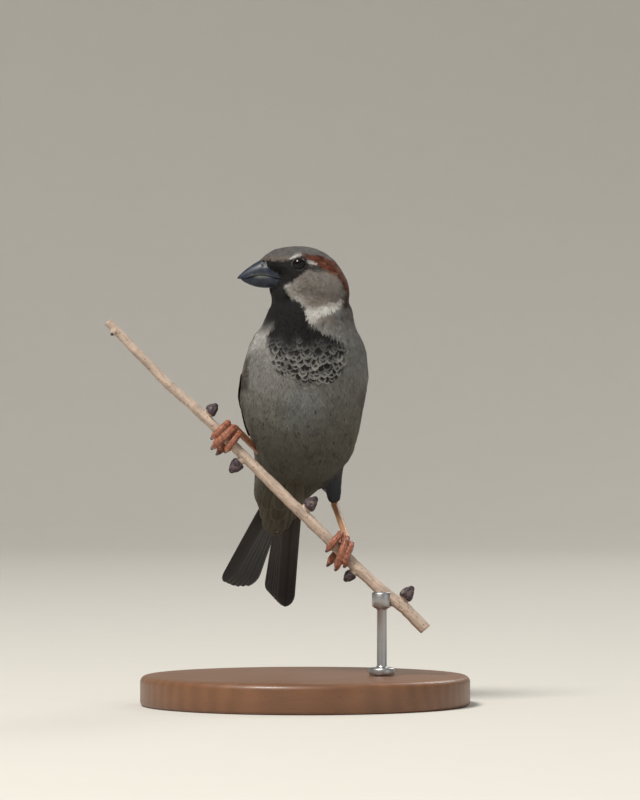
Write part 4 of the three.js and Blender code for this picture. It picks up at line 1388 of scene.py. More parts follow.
class SPARROW_OT_wings(bpy.types.Operator):
    """Folds the flight feathers and their coverts along both wings"""

    bl_idname = "sparrow.wings"
    bl_label = "Wing feathers"

    def execute(self, context):
        names = ["trunk", "tail_coverts"]
        for side in SIDES:
            names += wing_nodes(side)
        bed = remeshed("wing_bed", merged_copy(names, 0.12 * MM), 0.6 * MM)
        relax(bed, 8)
        tree = tree_of(bed)
        finish = plumage_finish("flight_feathers", 0.6, 0.1, 60.0)
        for side in SIDES:
            wing = Wing(side, tree)
            long = self.flight(wing)
            item = long.piece(f"flight_feathers_{side}", VANE_BODY)
            finished(item, finish, "flight_feathers", f"wing_{side}_primaries")
            short = self.coverts(wing)
            item = short.piece(f"wing_coverts_{side}", VANE_BODY)
            finished(item, finish, "wing_feathers")
        bpy.data.meshes.remove(bed)
        return {"FINISHED"}

    @staticmethod
    def flight(wing):
        """The primaries, the secondaries and the three broad tertials of a wing."""
        vanes = Vanes(6, 18)
        flat = vanes.flat
        dark, rim = shade("flight"), shade("edge")
        step = sizes().stack
        for k in range(9):
            far = min(62.0 + 2.6 * k, 76.6)
            far = far - 1.2 * max(0, k - 7)
            share = 0.66 - 0.05 * k
            tone = long_tones(flat, dark, rim * 0.7, dark * 0.5, 0.14, 0.4, k)
            ends = (30.0, share * 0.8), (far, share)
            places = wing_vane(wing, flat, *ends, 5.6 * MM, -0.1 * MM, step * 1.4, 0.6, 0.12)
            vanes.add(places, tone)
        for k in range(6):
            far = 59.0 - 1.7 * k
            share = 0.28 + 0.072 * k
            warm = mixed(rim, shade("chestnut"), 0.35)
            tone = long_tones(flat, dark, warm, dark * 0.5, 0.26, 0.8, k + 20)
            ends = (24.0, share), (far, share + 0.06)
            places = wing_vane(wing, flat, *ends, 6.4 * MM, 0.08 * MM, step * 1.4, 0.7)
            vanes.add(places, tone)
        for k in range(3):
            far = 56.0 - 6.5 * k
            share = 0.62 + 0.085 * k
            warm = mixed(rim * 1.15, shade("chestnut") * 1.5, 0.4)
            tone = long_tones(flat, shade("streak"), warm, dark * 0.4, 0.42, 1.0, k + 40)
            ends = (31.0, share), (far, share)
            places = wing_vane(wing, flat, *ends, 7.0 * MM, 0.2 * MM + k * step, step * 2, 0.6, 0.2)
            vanes.add(places, tone)
        return vanes

    @staticmethod
    def coverts(wing):
        """The greater coverts, with chestnut edges, and the white-tipped median row over them."""
        vanes = Vanes(6, 12)
        flat = vanes.flat
        across, along = np.abs(flat[:, 0]), flat[:, 1]
        dark = shade("streak")
        step = sizes().stack
        for k in range(8):
            share = 0.2 + 0.052 * k
            warm = mixed(shade("edge") * 1.1, shade("chestnut") * 1.5, 0.5) * soft(-1.0, 2.5, k)
            tone = long_tones(flat, dark, warm, dark * 0.6, 0.42, 1.0, k)
            far = 36.5 + 1.2 * math.sin(k * 2.1) - 0.3 * k
            ends = (18.0, share), (far, share)
            places = wing_vane(wing, flat, *ends, 5.4 * MM, 0.3 * MM, step * 1.6, 0.6, 0.25)
            vanes.add(places, tone)
        for k in range(7):
            share = 0.22 + 0.048 * k
            tone = long_tones(flat, dark, dark, dark * 0.6, 0.3, 0.0, k + 9)
            red = soft(0.58, 0.4, along + 0.05 * np.sin(across * 9.0 + k))
            warm = shade("chestnut") * (0.85 + 0.15 * np.sin(along * 40.0 + k))[:, None]
            tone = mixed(tone, warm, red)
            white = soft(0.62, 0.78, along + across * 0.1) * soft(-0.5, 1.5, k)
            tone = mixed(tone, shade("white"), white)
            far = 26.0 + 0.8 * math.sin(k * 1.7)
            ends = (14.0, share), (far, share)
            places = wing_vane(wing, flat, *ends, 5.0 * MM, 0.5 * MM, step * 1.6, 0.6, 0.3)
            vanes.add(places, tone)
        return vanes


class SPARROW_OT_tail(bpy.types.Operator):
    """Spreads the twelve tail feathers in their two halves"""

    bl_idname = "sparrow.tail"
    bl_label = "Tail feathers"

    def execute(self, context):
        finish = plumage_finish("tail_feathers", 0.6, 0.12, 70.0)
        for side in SIDES:
            vanes = self.half(side)
            item = vanes.piece(f"tail_feathers_{side}", 0.1 * MM)
            finished(item, finish, "flight_feathers", f"tail_{side}")
        item = self.coverts().piece("undertail_coverts", VANE_BODY)
        finished(item, plumage_finish("undertail_feathers", 0.8, 0.05, 40.0), "body_feathers")
        return {"FINISHED"}

    @staticmethod
    def coverts():
        """The long feathers under the tail's root, row over row, down to one blunt point."""
        tail = tree_of_nodes(["tail_left", "tail_right"])
        vanes = Vanes(8, 14)
        flat = vanes.flat
        ahead = Vector((0.0, 1.0, 0.0))
        rows = [
            (50.3, 62.0, [-9.4]),
            (52.0, 64.0, [-11.3, -7.4]),
            (55.0, 67.0, [-12.0, -8.6, -5.0]),
            (58.5, 69.0, [-11.4, -7.4, -3.4]),
        ]
        for number, (low, high, spots) in enumerate(rows):
            for k, far in enumerate(spots):
                near = far * 0.7 - 0.6
                span = vane_width(flat[:, 1], 0.6, 0.3) * 2.9
                across = near + (far - near) * flat[:, 1] + flat[:, 0] * span
                level = high + (low - high) * flat[:, 1]
                places = []
                for x, z, along in zip(across * MM, level * MM, flat[:, 1]):
                    start = Vector((x, -0.06, z))
                    hits = [tree.ray_cast(start, ahead)[0] for tree in (form().tree, tail)]
                    depths = [hit.y for hit in hits if hit is not None]
                    y = min(depths) if depths else (places[-1][1] if places else 0.0)
                    lift = (-0.9 + 1.25 * along**0.5 + 0.1 * number) * MM
                    places.append((x, y - lift, z))
                places = smoothed(np.array(places), vanes.faces)
                # These coverts take the vent colour, which is darkened as painted shade.
                main = shade("vent") * (0.85 + 0.12 * math.sin(3.0 * k + number))
                tone = long_tones(flat, main, shade("vent") * 1.4, main * 0.6, 0.12, 0.7, k + number)
                vanes.add(places, tone)
        return vanes

    @staticmethod
    def half(side):
        """Six feathers of one half of the tail, in the fan that the CAD node has."""
        points = corners(f"tail_{side}")
        tree = tree_of_nodes([f"tail_{side}"])
        core, (run, over, _) = main_lines(points)
        run = run if run[2] < 0 else -run
        over = over if over[0] > 0 else -over
        face = np.cross(over, run)
        face = face if face[1] < 0 else -face
        plan = Axes(core, run, over, face)
        inside = plan.inside(points)
        start, end = inside[:, 0].min(), inside[:, 0].max()
        near = inside[:, 0] < start + 0.3 * (end - start)
        far = inside[:, 0] > start + 0.72 * (end - start)
        low = (inside[near, 1].min(), inside[far, 1].min())
        high = (inside[near, 1].max(), inside[far, 1].max())
        slab = np.stack([inside[:, 0], inside[:, 1], np.ones(len(inside))], axis=1)
        lean = np.linalg.lstsq(slab, inside[:, 2], rcond=None)[0]
        vanes = Vanes(8, 22)
        flat = vanes.flat
        dark = shade("flight")
        sign = 1.0 if side == "left" else -1.0
        half_near, half_far = TAIL_WIDE * 0.36, TAIL_WIDE * 0.5
        for k in range(TAIL_FEATHERS):
            share = k / (TAIL_FEATHERS - 1.0)
            span = vane_width(flat[:, 1], 0.7, 0.09)
            line_near = low[0] + half_near + (high[0] - low[0] - 2.0 * half_near) * share
            line_far = low[1] + half_far + (high[1] - low[1] - 2.0 * half_far) * share
            tip = start
            for over_plane in np.linspace(-2.0, 2.0, 17):
                level = lean[0] * end + lean[1] * line_far + lean[2] + over_plane
                hit = tree.ray_cast(Vector(plan.outside([end + 4.0, line_far, level])), Vector(-run))
                if hit[0] is not None:
                    tip = max(tip, plan.inside(np.array(hit[0]))[0])
            along = start + (tip - start) * flat[:, 1]
            line = line_near + (line_far - line_near) * (along - start) / (end - start)
            curve = sign * 0.9 * flat[:, 1] ** 2 * (share - 0.5)
            cross = line + curve + flat[:, 0] * span * TAIL_WIDE * 0.5
            rank = (share - 0.5) * sign
            level = lean[0] * along + lean[1] * cross + lean[2]
            cup = -0.35 * flat[:, 0] ** 2 + flat[:, 0] * sign * 0.16
            level = level + rank + cup * 0.6
            places = plan.outside(np.stack([along, cross, level], axis=1))
            own = dark * (0.8 + 0.4 * (k % 2))
            tone = long_tones(flat, own, dark * 1.9, dark * 0.5, 0.1, 0.5, k)
            tone = tone * (1.0 - 0.45 * soft(0.45, 0.95, flat[:, 1]))[:, None]
            vanes.add(places, tone)
        return vanes


class SPARROW_OT_bill(bpy.types.Operator):
    """Makes the two halves of the bill, with the nostrils"""

    bl_idname = "sparrow.bill"
    bl_label = "Bill"

    def execute(self, context):
        finish = self.horn()
        for half in ("upper", "lower"):
            mesh = self.half(half)
            inside = HEAD.inside(get_points(mesh))
            ahead, aside, above = inside.T
            reach = np.hypot((ahead - NOSTRIL[0]) / 0.85, (above - NOSTRIL[1]) / 0.5)
            # The nostril is pressed in as a shallow hollow, then painted near black in the horn: painted
            # shade standing for the opening's depth.
            hollow = soft(1.25, 0.5, reach) * (half == "upper")
            inside[:, 1] -= np.sign(aside) * hollow * 0.35
            set_points(mesh, HEAD.outside(inside))
            set_numbers(mesh, "nostril", hollow)
            gap = np.abs(above - BILL_EDGE - 0.1)
            # A pale streak along the lower cutting edge, mostly a painted highlight and partly the horn's
            # own paler edge; the upper half gets only a faint pale line at its edge.
            pale = soft(1.1, 0.5, gap) * soft(10.8, 13.8, ahead) * soft(18.6, 15.6, ahead)
            fine = soft(0.5, 0.2, gap) * soft(11.0, 12.5, ahead) * soft(19.5, 17.5, ahead)
            set_numbers(mesh, "pale", pale if half == "lower" else fine * 0.5)
            placed(f"bill_{half}_horn", mesh, finish, "bill", f"bill_{half}")
        return {"FINISHED"}

    @staticmethod
    def half(half):
        """One half of the bill: rings drawn forward from inside the face to the tip."""
        hand = 1.0 if half == "upper" else -1.0
        bm = bmesh.new()
        ring = bmesh.ops.create_circle(bm, cap_ends=True, segments=40, radius=1.0)["verts"]
        rings = [ring]
        face = bm.faces[:]
        steps = 34
        for _ in range(steps):
            made = bmesh.ops.extrude_face_region(bm, geom=face)["geom"]
            face = [g for g in made if isinstance(g, bmesh.types.BMFace)]
            top = {tuple(round(c, 4) for c in v.co): v for v in made if isinstance(v, bmesh.types.BMVert)}
            rings.append([top[tuple(round(c, 4) for c in v.co)] for v in ring])
        back, tip = BILL_BASE - 2.6, BILL_TIP - (0.0 if half == "upper" else 0.8)
        section = [(v.co.x, v.co.y) for v in ring]
        for number, verts in enumerate(rings):
            share = (number / steps) ** 0.8
            ahead = back + (tip - back) * share
            run = min(max(0.0, (ahead - BILL_BASE) / (tip - BILL_BASE)), 0.9998)
            behind = max(0.0, BILL_BASE - ahead)
            share, upper, lower = bill_taper(run)
            wide = (BILL_WIDE + behind * 0.35) * share * (1.0 if half == "upper" else 0.94)
            tall = BILL_RIDGE * upper if half == "upper" else BILL_KEEL * lower
            tall += behind * 0.12
            sag = soft(10.4, 14.6, ahead) - 1.0 + 0.15 * spot(ahead, 16.2, 2.5)
            sag = sag - 0.95 * soft(16.0, 21.0, ahead)
            for vert, (x, y) in zip(verts, section):
                aside = wide * math.copysign(abs(x) ** 0.92, x)
                edge = BILL_EDGE + float(sag) + hand * 0.1
                far = BILL_EDGE - 0.6 * run + hand * tall
                above = edge + (far - edge) * max(0.0, y) ** 0.94 + hand * 0.18 * min(0.0, y)
                vert.co = HEAD.outside([ahead, aside, above])
        caps = [f for f in bm.faces if len(f.verts) > 4]
        inner = [f for f in caps if f is not face[0] and rings[0][0] not in f.verts]
        bmesh.ops.delete(bm, geom=inner, context="FACES_ONLY")
        return outward(bm, f"bill_{half}")

    @staticmethod
    def horn():
        """Blue-black horn, paler along the lower cutting edge in a streak that is mostly a painted
        highlight, with fine growth lines.
        """
        paint = Paint("bill_horn")
        place = paint.place()
        lumps = paint.noise(place, 1.6 * MM, 4.0)
        fine = paint.noise(paint.stretched((0.002, 0.0006, 0.0006)), 0.5, 3.0)
        base = paint.mix(shade("bill") * 0.6, shade("bill") * 1.4, lumps.clear(0.3, 0.7))
        # The pale streak: mostly painted highlight, partly the horn's paler edge.
        base = paint.mix(base, from_screen(128, 134, 122), paint.kept("pale") * 0.5)
        # Near black in the nostril: painted shade of the opening.
        base = paint.mix(base, from_screen(10, 10, 12), paint.kept("nostril") * 0.9)
        return paint.skin(
            {
                "Base Color": base,
                "Roughness": 0.36 + lumps * 0.14,
                "Specular IOR Level": 0.32,
                "Coat Weight": 0.05,
                "Coat Roughness": 0.25,
                "Normal": paint.bump(fine * 0.6 + lumps * 0.4, 0.06 * MM, 0.6),
            }
        )


class SPARROW_OT_eyes(bpy.types.Operator):
    """Makes the glossy eyes and the beaded lids around them"""

    bl_idname = "sparrow.eyes"
    bl_label = "Eyes"

    def execute(self, context):
        ball, lid = self.ball(), self.lid()
        for side in SIDES:
            sign = 1.0 if side == "left" else -1.0
            core = HEAD.inside(middle(f"eye_{side}"))
            radius = (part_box(f"eye_{side}")[1].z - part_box(f"eye_{side}")[0].z) / 2.0 / MM
            bm = bmesh.new()
            bmesh.ops.create_uvsphere(bm, u_segments=48, v_segments=32, radius=radius)
            for vert in bm.verts:
                vert.co = HEAD.outside(core + np.array([vert.co.x, vert.co.z * sign, vert.co.y]))
            mesh = outward(bm, f"eyeball_{side}")
            points = HEAD.inside(get_points(mesh))
            set_numbers(mesh, "out", (points[:, 1] - core[1]) * sign / radius)
            placed(f"eyeball_{side}", mesh, ball, "eye", f"eye_{side}")
            bm = bmesh.new()
            thick = sizes().lid / MM
            turn = bmesh.ops.create_circle(bm, cap_ends=False, segments=10, radius=thick)
            for vert in turn["verts"]:
                depth = math.sqrt(radius**2 - LID_RADIUS**2) + 0.05
                vert.co = Vector((LID_RADIUS + vert.co.x, 0.0, depth + vert.co.y * 1.3))
            spun(bm, bm.edges[:], 56)
            for vert in bm.verts:
                flat = np.array([vert.co.x, vert.co.z * sign, vert.co.y * 0.93])
                flat[0] += 0.22 * max(0.0, vert.co.x / LID_RADIUS) ** 8
                vert.co = HEAD.outside(core + flat)
            bmesh.ops.remove_doubles(bm, verts=bm.verts, dist=0.000001)
            placed(f"eyelid_{side}", outward(bm, f"eyelid_{side}"), lid, "body_feathers")
        return {"FINISHED"}

    @staticmethod
    def ball():
        """A wet dark brown eye with a black pupil."""
        paint = Paint("eyeball")
        out = paint.kept("out")
        pupil = out.clear(0.8, 0.84)
        streaks = paint.noise(paint.place(), 0.3 * MM, 4.0)
        iris = paint.mix(shade("eye") * 0.4, shade("eye") * 1.4, streaks)
        tone = paint.mix(iris, (0.002, 0.002, 0.002), pupil)
        inputs = {"Base Color": tone, "Roughness": 0.035, "IOR": 1.34}
        return paint.skin(inputs)

    @staticmethod
    def lid():
        """Dark beaded skin."""
        paint = Paint("eyelid")
        inputs = {"Vector": paint.place(), "Scale": 1.0 / (0.28 * MM)}
        beads = paint.make("ShaderNodeTexVoronoi", {}, inputs)
        tone = paint.mix(shade("black") * 1.1, shade("cheek") * 0.3, beads * 0.6)
        inputs = {"Base Color": tone, "Roughness": 0.6, "Normal": paint.bump(1.0 - beads, 0.06 * MM, 0.8)}
        return paint.skin(inputs)


class Twig:
    """The middle line of the perch, read from the CAD node."""

    def __init__(self):
        points = corners("perch_twig")
        low, high = points[:, 0].min(), points[:, 0].max()
        self.across = np.linspace(low + 1.5 * MM, high - 1.5 * MM, 26)
        tree = tree_of_nodes(["perch_twig"])
        depth = (points[:, 1].min() + points[:, 1].max()) / 2.0
        levels = []
        for place in self.across:
            top = tree.ray_cast(Vector((place, depth, 1.0)), Vector((0.0, 0.0, -1.0)))[0].z
            bottom = tree.ray_cast(Vector((place, depth, -1.0)), Vector((0.0, 0.0, 1.0)))[0].z
            levels.append((top, bottom))
        levels = np.array(levels)
        plain = np.median(levels[:, 0] - levels[:, 1])
        slim = np.abs(levels[:, 0] - levels[:, 1] - plain) < 0.9 * MM
        line = np.stack([self.across, np.full(len(slim), depth), levels.mean(axis=1)], axis=1)[slim]
        before = line[0] - unit(line[3] - line[0]) * 14.0 * MM
        after = line[-1] + unit(line[-1] - line[-4]) * 14.0 * MM
        self.line = np.concatenate([[before], line, [after]])

    def core(self, points):
        """The nearest places on the middle line to points, and the line's direction there."""
        best = np.full(len(points), 1e9)
        place = np.zeros((len(points), 3))
        way = np.zeros((len(points), 3))
        for start, end in zip(self.line[:-1], self.line[1:]):
            run = end - start
            share = np.clip((points - start) @ run / (run @ run), 0.0, 1.0)
            here = start + run * share[:, None]
            gap = np.linalg.norm(points - here, axis=1)
            closer = gap < best
            best[closer] = gap[closer]
            place[closer] = here[closer]
            way[closer] = unit(run)
        return place, way, best


class SPARROW_OT_feet(bpy.types.Operator):
    """Makes the scaled legs and toes that grip the twig, and their claws"""

    bl_idname = "sparrow.feet"
    bl_label = "Feet"

    def execute(self, context):
        scaled, horn = self.scales(), self.claw()
        twig = Twig()
        for side in SIDES:
            names = [f"tarsus_{side}"] + [f"toe_{toe}_{side}" for toe in TOES]
            mesh = remeshed(f"foot_{side}", merged_copy(names, 0.17 * MM), 0.22 * MM)
            relax(mesh, 5)
            points = get_points(mesh)
            run = self.run(points, names, twig)
            normals = get_normals(mesh)
            ring = np.abs((run / SCALE_RUN) % 1.0 - 0.5) * 2.0
            lumps = cloud(points, 0.8 * MM) * 0.05
            points = points + normals * ((soft(0.0, 0.4, 1.0 - ring) * 0.05 - 0.05 + lumps) * MM)[:, None]
            set_points(mesh, points)
            set_numbers(mesh, "run", run)
            shin, toes = (distances(tree_of_nodes(some), points) for some in (names[:1], names[1:]))
            shin = shin - toes
            # The pale shin colour goes fully on the left leg and at 0.4 on the right, which stays redder:
            # painted shade and light through the skin on the right leg.
            set_numbers(mesh, "shin", soft(0.2, -0.8, shin) * (1.0 if side == "left" else 0.4))
            placed(f"foot_{side}", mesh, scaled, "leg_skin", *names)
            names = [f"claw_{toe}_{side}" for toe in TOES]
            mesh = remeshed(f"claws_{side}", merged_copy(names, 0.03 * MM), 0.11 * MM)
            relax(mesh, 6)
            placed(f"claws_{side}", mesh, horn, "claw", *names)
        return {"FINISHED"}

    @staticmethod
    def run(points, names, twig):
        """How far along the leg or the toe each point lies, in millimetres."""
        reach = np.empty((len(names), len(points)))
        lengths = np.empty((len(names), len(points)))
        for row, name in enumerate(names):
            reach[row] = distances(tree_of_nodes([name]), points)
            if name.startswith("tarsus"):
                core, (line, _, _) = main_lines(corners(name))
                lengths[row] = (points - core) @ line / MM
            else:
                place, way, _ = twig.core(points)
                away = points - place
                side = unit(np.cross(way, np.array([0.0, 1.0, 0.0])))
                turn = np.arctan2(away[:, 1], np.sum(away * side, axis=1))
                lengths[row] = turn * 2.7
        chosen = np.argmin(reach, axis=0)
        return lengths[chosen, np.arange(len(points))]

    @staticmethod
    def scales():
        """Fleshy orange-brown skin, ringed with broad scales."""
        paint = Paint("leg_scales")
        run = paint.kept("run")
        ring = paint.make("ShaderNodeMath", {"operation": "PINGPONG"}, {0: run / SCALE_RUN, 1: 0.5})
        groove = ring.clear(0.16, 0.02)
        lumps = paint.noise(paint.place(), 1.1 * MM, 4.0)
        fine = paint.noise(paint.place(), 0.25 * MM, 3.0)
        base = paint.mix(shade("leg") * 0.6, shade("leg") * 1.25, lumps.clear(0.3, 0.7))
        base = paint.mix(base, shade("shin"), paint.kept("shin") * 0.75)
        base = paint.mix(base, shade("leg") * np.array([0.5, 0.38, 0.34]), groove * 0.3)
        return paint.skin(
            {
                "Base Color": base,
                "Roughness": 0.28 + fine * 0.2,
                "Subsurface Weight": 0.08,
                "Subsurface Radius": (0.002, 0.0008, 0.0005),
                "Subsurface Scale": 0.5,
                "Normal": paint.bump(fine * 0.3 + lumps * 0.5 - groove * 0.5, 0.08 * MM, 0.8),
            }
        )

    @staticmethod
    def claw():
        """Dark horn, paler and darker in soft patches."""
        paint = Paint("claw_horn")
        lumps = paint.noise(paint.place(), 0.8 * MM, 3.0)
        tone = paint.mix(shade("claw") * 0.7, shade("claw") * 1.9, lumps)
        inputs = {"Base Color": tone, "Roughness": 0.32, "Normal": paint.bump(lumps, 0.03 * MM, 0.5)}
        return paint.skin(inputs)


class SPARROW_OT_perch(bpy.types.Operator):
    """Makes the cut twig, with its rough bark, its cut ends and its buds"""

    bl_idname = "sparrow.perch"
    bl_label = "Twig"

    def execute(self, context):
        twig = Twig()
        mesh = remeshed("twig", merged_copy(["perch_twig"], 0.02 * MM), 0.3 * MM)
        relax(mesh, 6)
        points = get_points(mesh)
        normals = get_normals(mesh)
        gap = twig.core(points)[2]
        bud = soft(0.5, 0.9, gap / MM - np.interp(points[:, 0] / MM, [-60, 36], [1.4, 1.9]))
        low, high = points[:, 0].min() / MM, points[:, 0].max() / MM
        bud = bud * soft(low + 1.5, low + 2.5, points[:, 0] / MM)
        bud = bud * soft(high - 2.0, high - 3.5, points[:, 0] / MM)
        rough = cloud(points, 3.0 * MM) * 0.1 + cloud(points, 1.0 * MM) * 0.06
        rough = rough + cloud(points, 0.5 * MM) * 0.03
        points = points + normals * (rough * MM * (1.0 - bud * 0.4))[:, None]
        set_points(mesh, points)
        set_numbers(mesh, "bud", bud)
        placed("twig_bark", mesh, self.bark(), "bark", "perch_twig")
        placed("bud_scales", self.bud_scales(points[bud > 0.5], twig), self.bud(), "bark")
        return {"FINISHED"}

    @staticmethod
    def bud_scales(points, twig):
        """Small overlapping scales round the tip of each bud."""
        order = np.argsort(points[:, 0])
        points = points[order]
        breaks = np.nonzero(np.diff(points[:, 0]) > 2.5 * MM)[0] + 1
        bm = bmesh.new()
        random = np.random.default_rng(BUD_SEED)
        for group in np.split(points, breaks):
            core = group.mean(axis=0)
            place, way, _ = twig.core(core[None])
            out = unit(core - place[0])
            side = unit(np.cross(out, way[0]))
            run = np.cross(side, out)
            if len(group) < 12:
                continue
            size = np.percentile(np.linalg.norm(group - core, axis=1), 75)
            rows = [(6, -0.1, 0.62, 0.72), (5, 0.35, 0.5, 0.7), (4, 0.8, 0.28, 0.6)]
            for ring, (count, level, spread, big) in enumerate(rows):
                for k in range(count):
                    turn = math.tau * (k + 0.5 * ring) / count + random.uniform(-0.4, 0.4)
                    lean = side * math.cos(turn) + run * math.sin(turn)
                    here = core + out * size * (level - 0.1) + lean * size * spread
                    made = bmesh.ops.create_icosphere(bm, subdivisions=2, radius=1.0)
                    grow = size * big * random.uniform(0.75, 1.2)
                    broad, tall = np.cross(lean, out), out * 0.95 - lean * 0.3
                    for vert in made["verts"]:
                        x, y, z = vert.co
                        shape = lean * x * 0.5 + broad * y * 0.85 + tall * z
                        vert.co = here + shape * grow
        return mesh_of(bm, "buds")

    @staticmethod
    def bark():
        """Pale pinkish bark with fine ridges along it and dark specks."""
        paint = Paint("twig_bark")
        place = paint.place()
        lumps = paint.noise(place, 4.0 * MM, 4.0)
        slope = math.atan2(0.66, 0.75)
        ridges = paint.noise(paint.stretched((0.006, 0.0011, 0.0011), (0.0, slope, 0.0)), 1.0, 5.0, 0.65)
        specks = paint.make("ShaderNodeTexVoronoi", {}, {"Vector": place, "Scale": 1.0 / (1.3 * MM)})
        grain = (ridges * 0.7 + lumps * 0.3).clear(0.32, 0.66)
        tone = paint.mix(shade("bark") * 0.62, shade("bark") * 1.15, grain)
        tone = paint.mix(tone, shade("bark") * np.array([0.34, 0.26, 0.24]), specks.clear(0.24, 0.1) * 0.7)
        tone = paint.mix(tone, shade("bud"), paint.kept("bud") * 0.92)
        height = ridges * 0.6 + lumps * 0.2 - specks.clear(0.26, 0.1) * 0.3
        inputs = {"Base Color": tone, "Roughness": 0.72, "Normal": paint.bump(height, 0.22 * MM, 0.9)}
        return paint.skin(inputs)

    @staticmethod
    def bud():
        """Dark purple-brown bud scales."""
        paint = Paint("bud_scales")
        lumps = paint.noise(paint.place(), 0.7 * MM, 4.0)
        tone = paint.mix(shade("bud") * 0.3, shade("bud") * 1.5, lumps.clear(0.35, 0.7))
        pale = paint.noise(paint.place(), 1.6 * MM, 3.0)
        tone = paint.mix(tone, shade("bark") * 0.55, pale.clear(0.58, 0.72) * 0.6)
        inputs = {"Base Color": tone, "Roughness": 0.6, "Normal": paint.bump(lumps, 0.2 * MM, 0.9)}
        return paint.skin(inputs)


def turned_room(name):
    """A turned CAD node's radius, its height and the middle of its foot."""
    low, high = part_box(name)
    foot = Vector(((low[0] + high[0]) / 2.0, (low[1] + high[1]) / 2.0, low[2]))
    return (high[0] - low[0]) / 2.0, high[2] - low[2], foot


def turned(name, profile, steps, foot):
    """A mesh turned on a lathe and stood on its foot's middle."""
    bm = lathed(profile, steps)
    bmesh.ops.translate(bm, verts=bm.verts, vec=foot)
    return outward(bm, name)


class SPARROW_OT_stand(bpy.types.Operator):
    """Makes the turned wooden base and the steel rod that holds the twig"""

    bl_idname = "sparrow.stand"
    bl_label = "Stand"

    def execute(self, context):
        radius, height, foot = turned_room("stand_base")
        edge = sizes().chamfer
        rim = [(0.0, height), (radius * 0.4, height), (radius * 0.8, height)]
        rim += [(radius - edge * 2.6 + 0.0001 * k, height - 0.00002 * k * k) for k in range(3)]
        for k in range(9):
            turn = math.radians(90.0 * k / 8.0)
            out, down = (1.0 - way(turn) for way in (math.sin, math.cos))
            rim.append((radius - edge * 1.6 * out, height - edge * 1.6 * down))
        rim += [(radius, height * 0.5), (radius, edge * 0.9)]
        rim += [(radius - edge * 0.25, edge * 0.3), (radius - edge * 0.8, 0.0)]
        rim += [(radius * 0.5, 0.0), (0.0, 0.0)]
        mesh = turned("stand_base_wood", rim, 160, foot)
        placed("stand_base_wood", mesh, self.wood(), "stand_wood", "stand_base")
        wide, tall, foot = turned_room("stand_rod")
        shank = 1.5 * MM
        flange = 2.2 * MM
        rod = [(0.0, 0.0), (wide - 0.0004, 0.0), (wide - 0.0001, 0.0001), (wide, 0.0005)]
        rod += [(wide, flange - 0.0006), (wide - 0.0002, flange - 0.0002)]
        rod += [(wide - 0.0006, flange), (shank + 0.0007, flange)]
        rod += [(shank + 0.0002, flange + 0.0002), (shank, flange + 0.0007)]
        cup = tall - 5.0 * MM
        bowl = 3.0 * MM
        rod += [(shank, tall * 0.4), (shank, cup - 0.0009), (shank + 0.0003, cup - 0.0004)]
        rod += [(bowl - 0.0004, cup), (bowl, cup + 0.0004), (bowl, tall - 0.0008)]
        rod += [(bowl - 0.0003, tall - 0.0004), (bowl - 0.0008, tall - 0.0004), (0.0, tall - 0.0004)]
        mesh = turned("stand_rod_steel", rod, 64, foot)
        placed("stand_rod_steel", mesh, self.steel(), "stand_steel", "stand_rod")
        return {"FINISHED"}

    @staticmethod
    def wood():
        """Oiled hardwood: long growth rings, fine pores and a worn sheen."""
        paint = Paint("oiled_wood")
        warp = paint.noise(paint.stretched((0.09, 0.009, 0.009)), 1.0, 4.0, 0.6)
        settings = {"wave_type": "BANDS", "bands_direction": "Y"}
        inputs = {"Vector": paint.stretched((0.07, 0.006, 0.006))}
        inputs |= {"Scale": 0.5, "Distortion": 4.0, "Detail": 3.0}
        rings = paint.make("ShaderNodeTexWave", settings, inputs)
        pores = paint.noise(paint.stretched((0.009, 0.0004, 0.0004)), 1.0, 3.0, 0.7)
        share = rings * 0.3 + warp * 0.7
        tone = paint.mix(shade("wood") * 0.62, shade("wood") * 1.2, share)
        tone = paint.mix(tone, shade("wood") * 0.35, pores.clear(0.56, 0.7) * 0.45)
        return paint.skin(
            {
                "Base Color": tone,
                "Roughness": 0.38 + pores * 0.2,
                "Coat Weight": 0.25,
                "Coat Roughness": 0.22,
                "Normal": paint.bump(pores * -0.6 + rings * 0.3, 0.12 * MM, 0.5),
            }
        )

    @staticmethod
    def steel():
        """Brushed steel, with fine marks around it."""
        paint = Paint("brushed_steel")
        marks = paint.noise(paint.stretched((0.02, 0.02, 0.00035)), 1.0, 2.0)
        smudge = paint.noise(paint.place(), 6.0 * MM, 3.0)
        return paint.skin(
            {
                "Base Color": paint.mix(shade("steel") * 0.85, shade("steel") * 1.05, marks),
                "Metallic": 1.0,
                "Roughness": 0.26 + marks * 0.14 + smudge * 0.1,
                "Normal": paint.bump(marks, 0.02 * MM, 0.35),
            }
        )


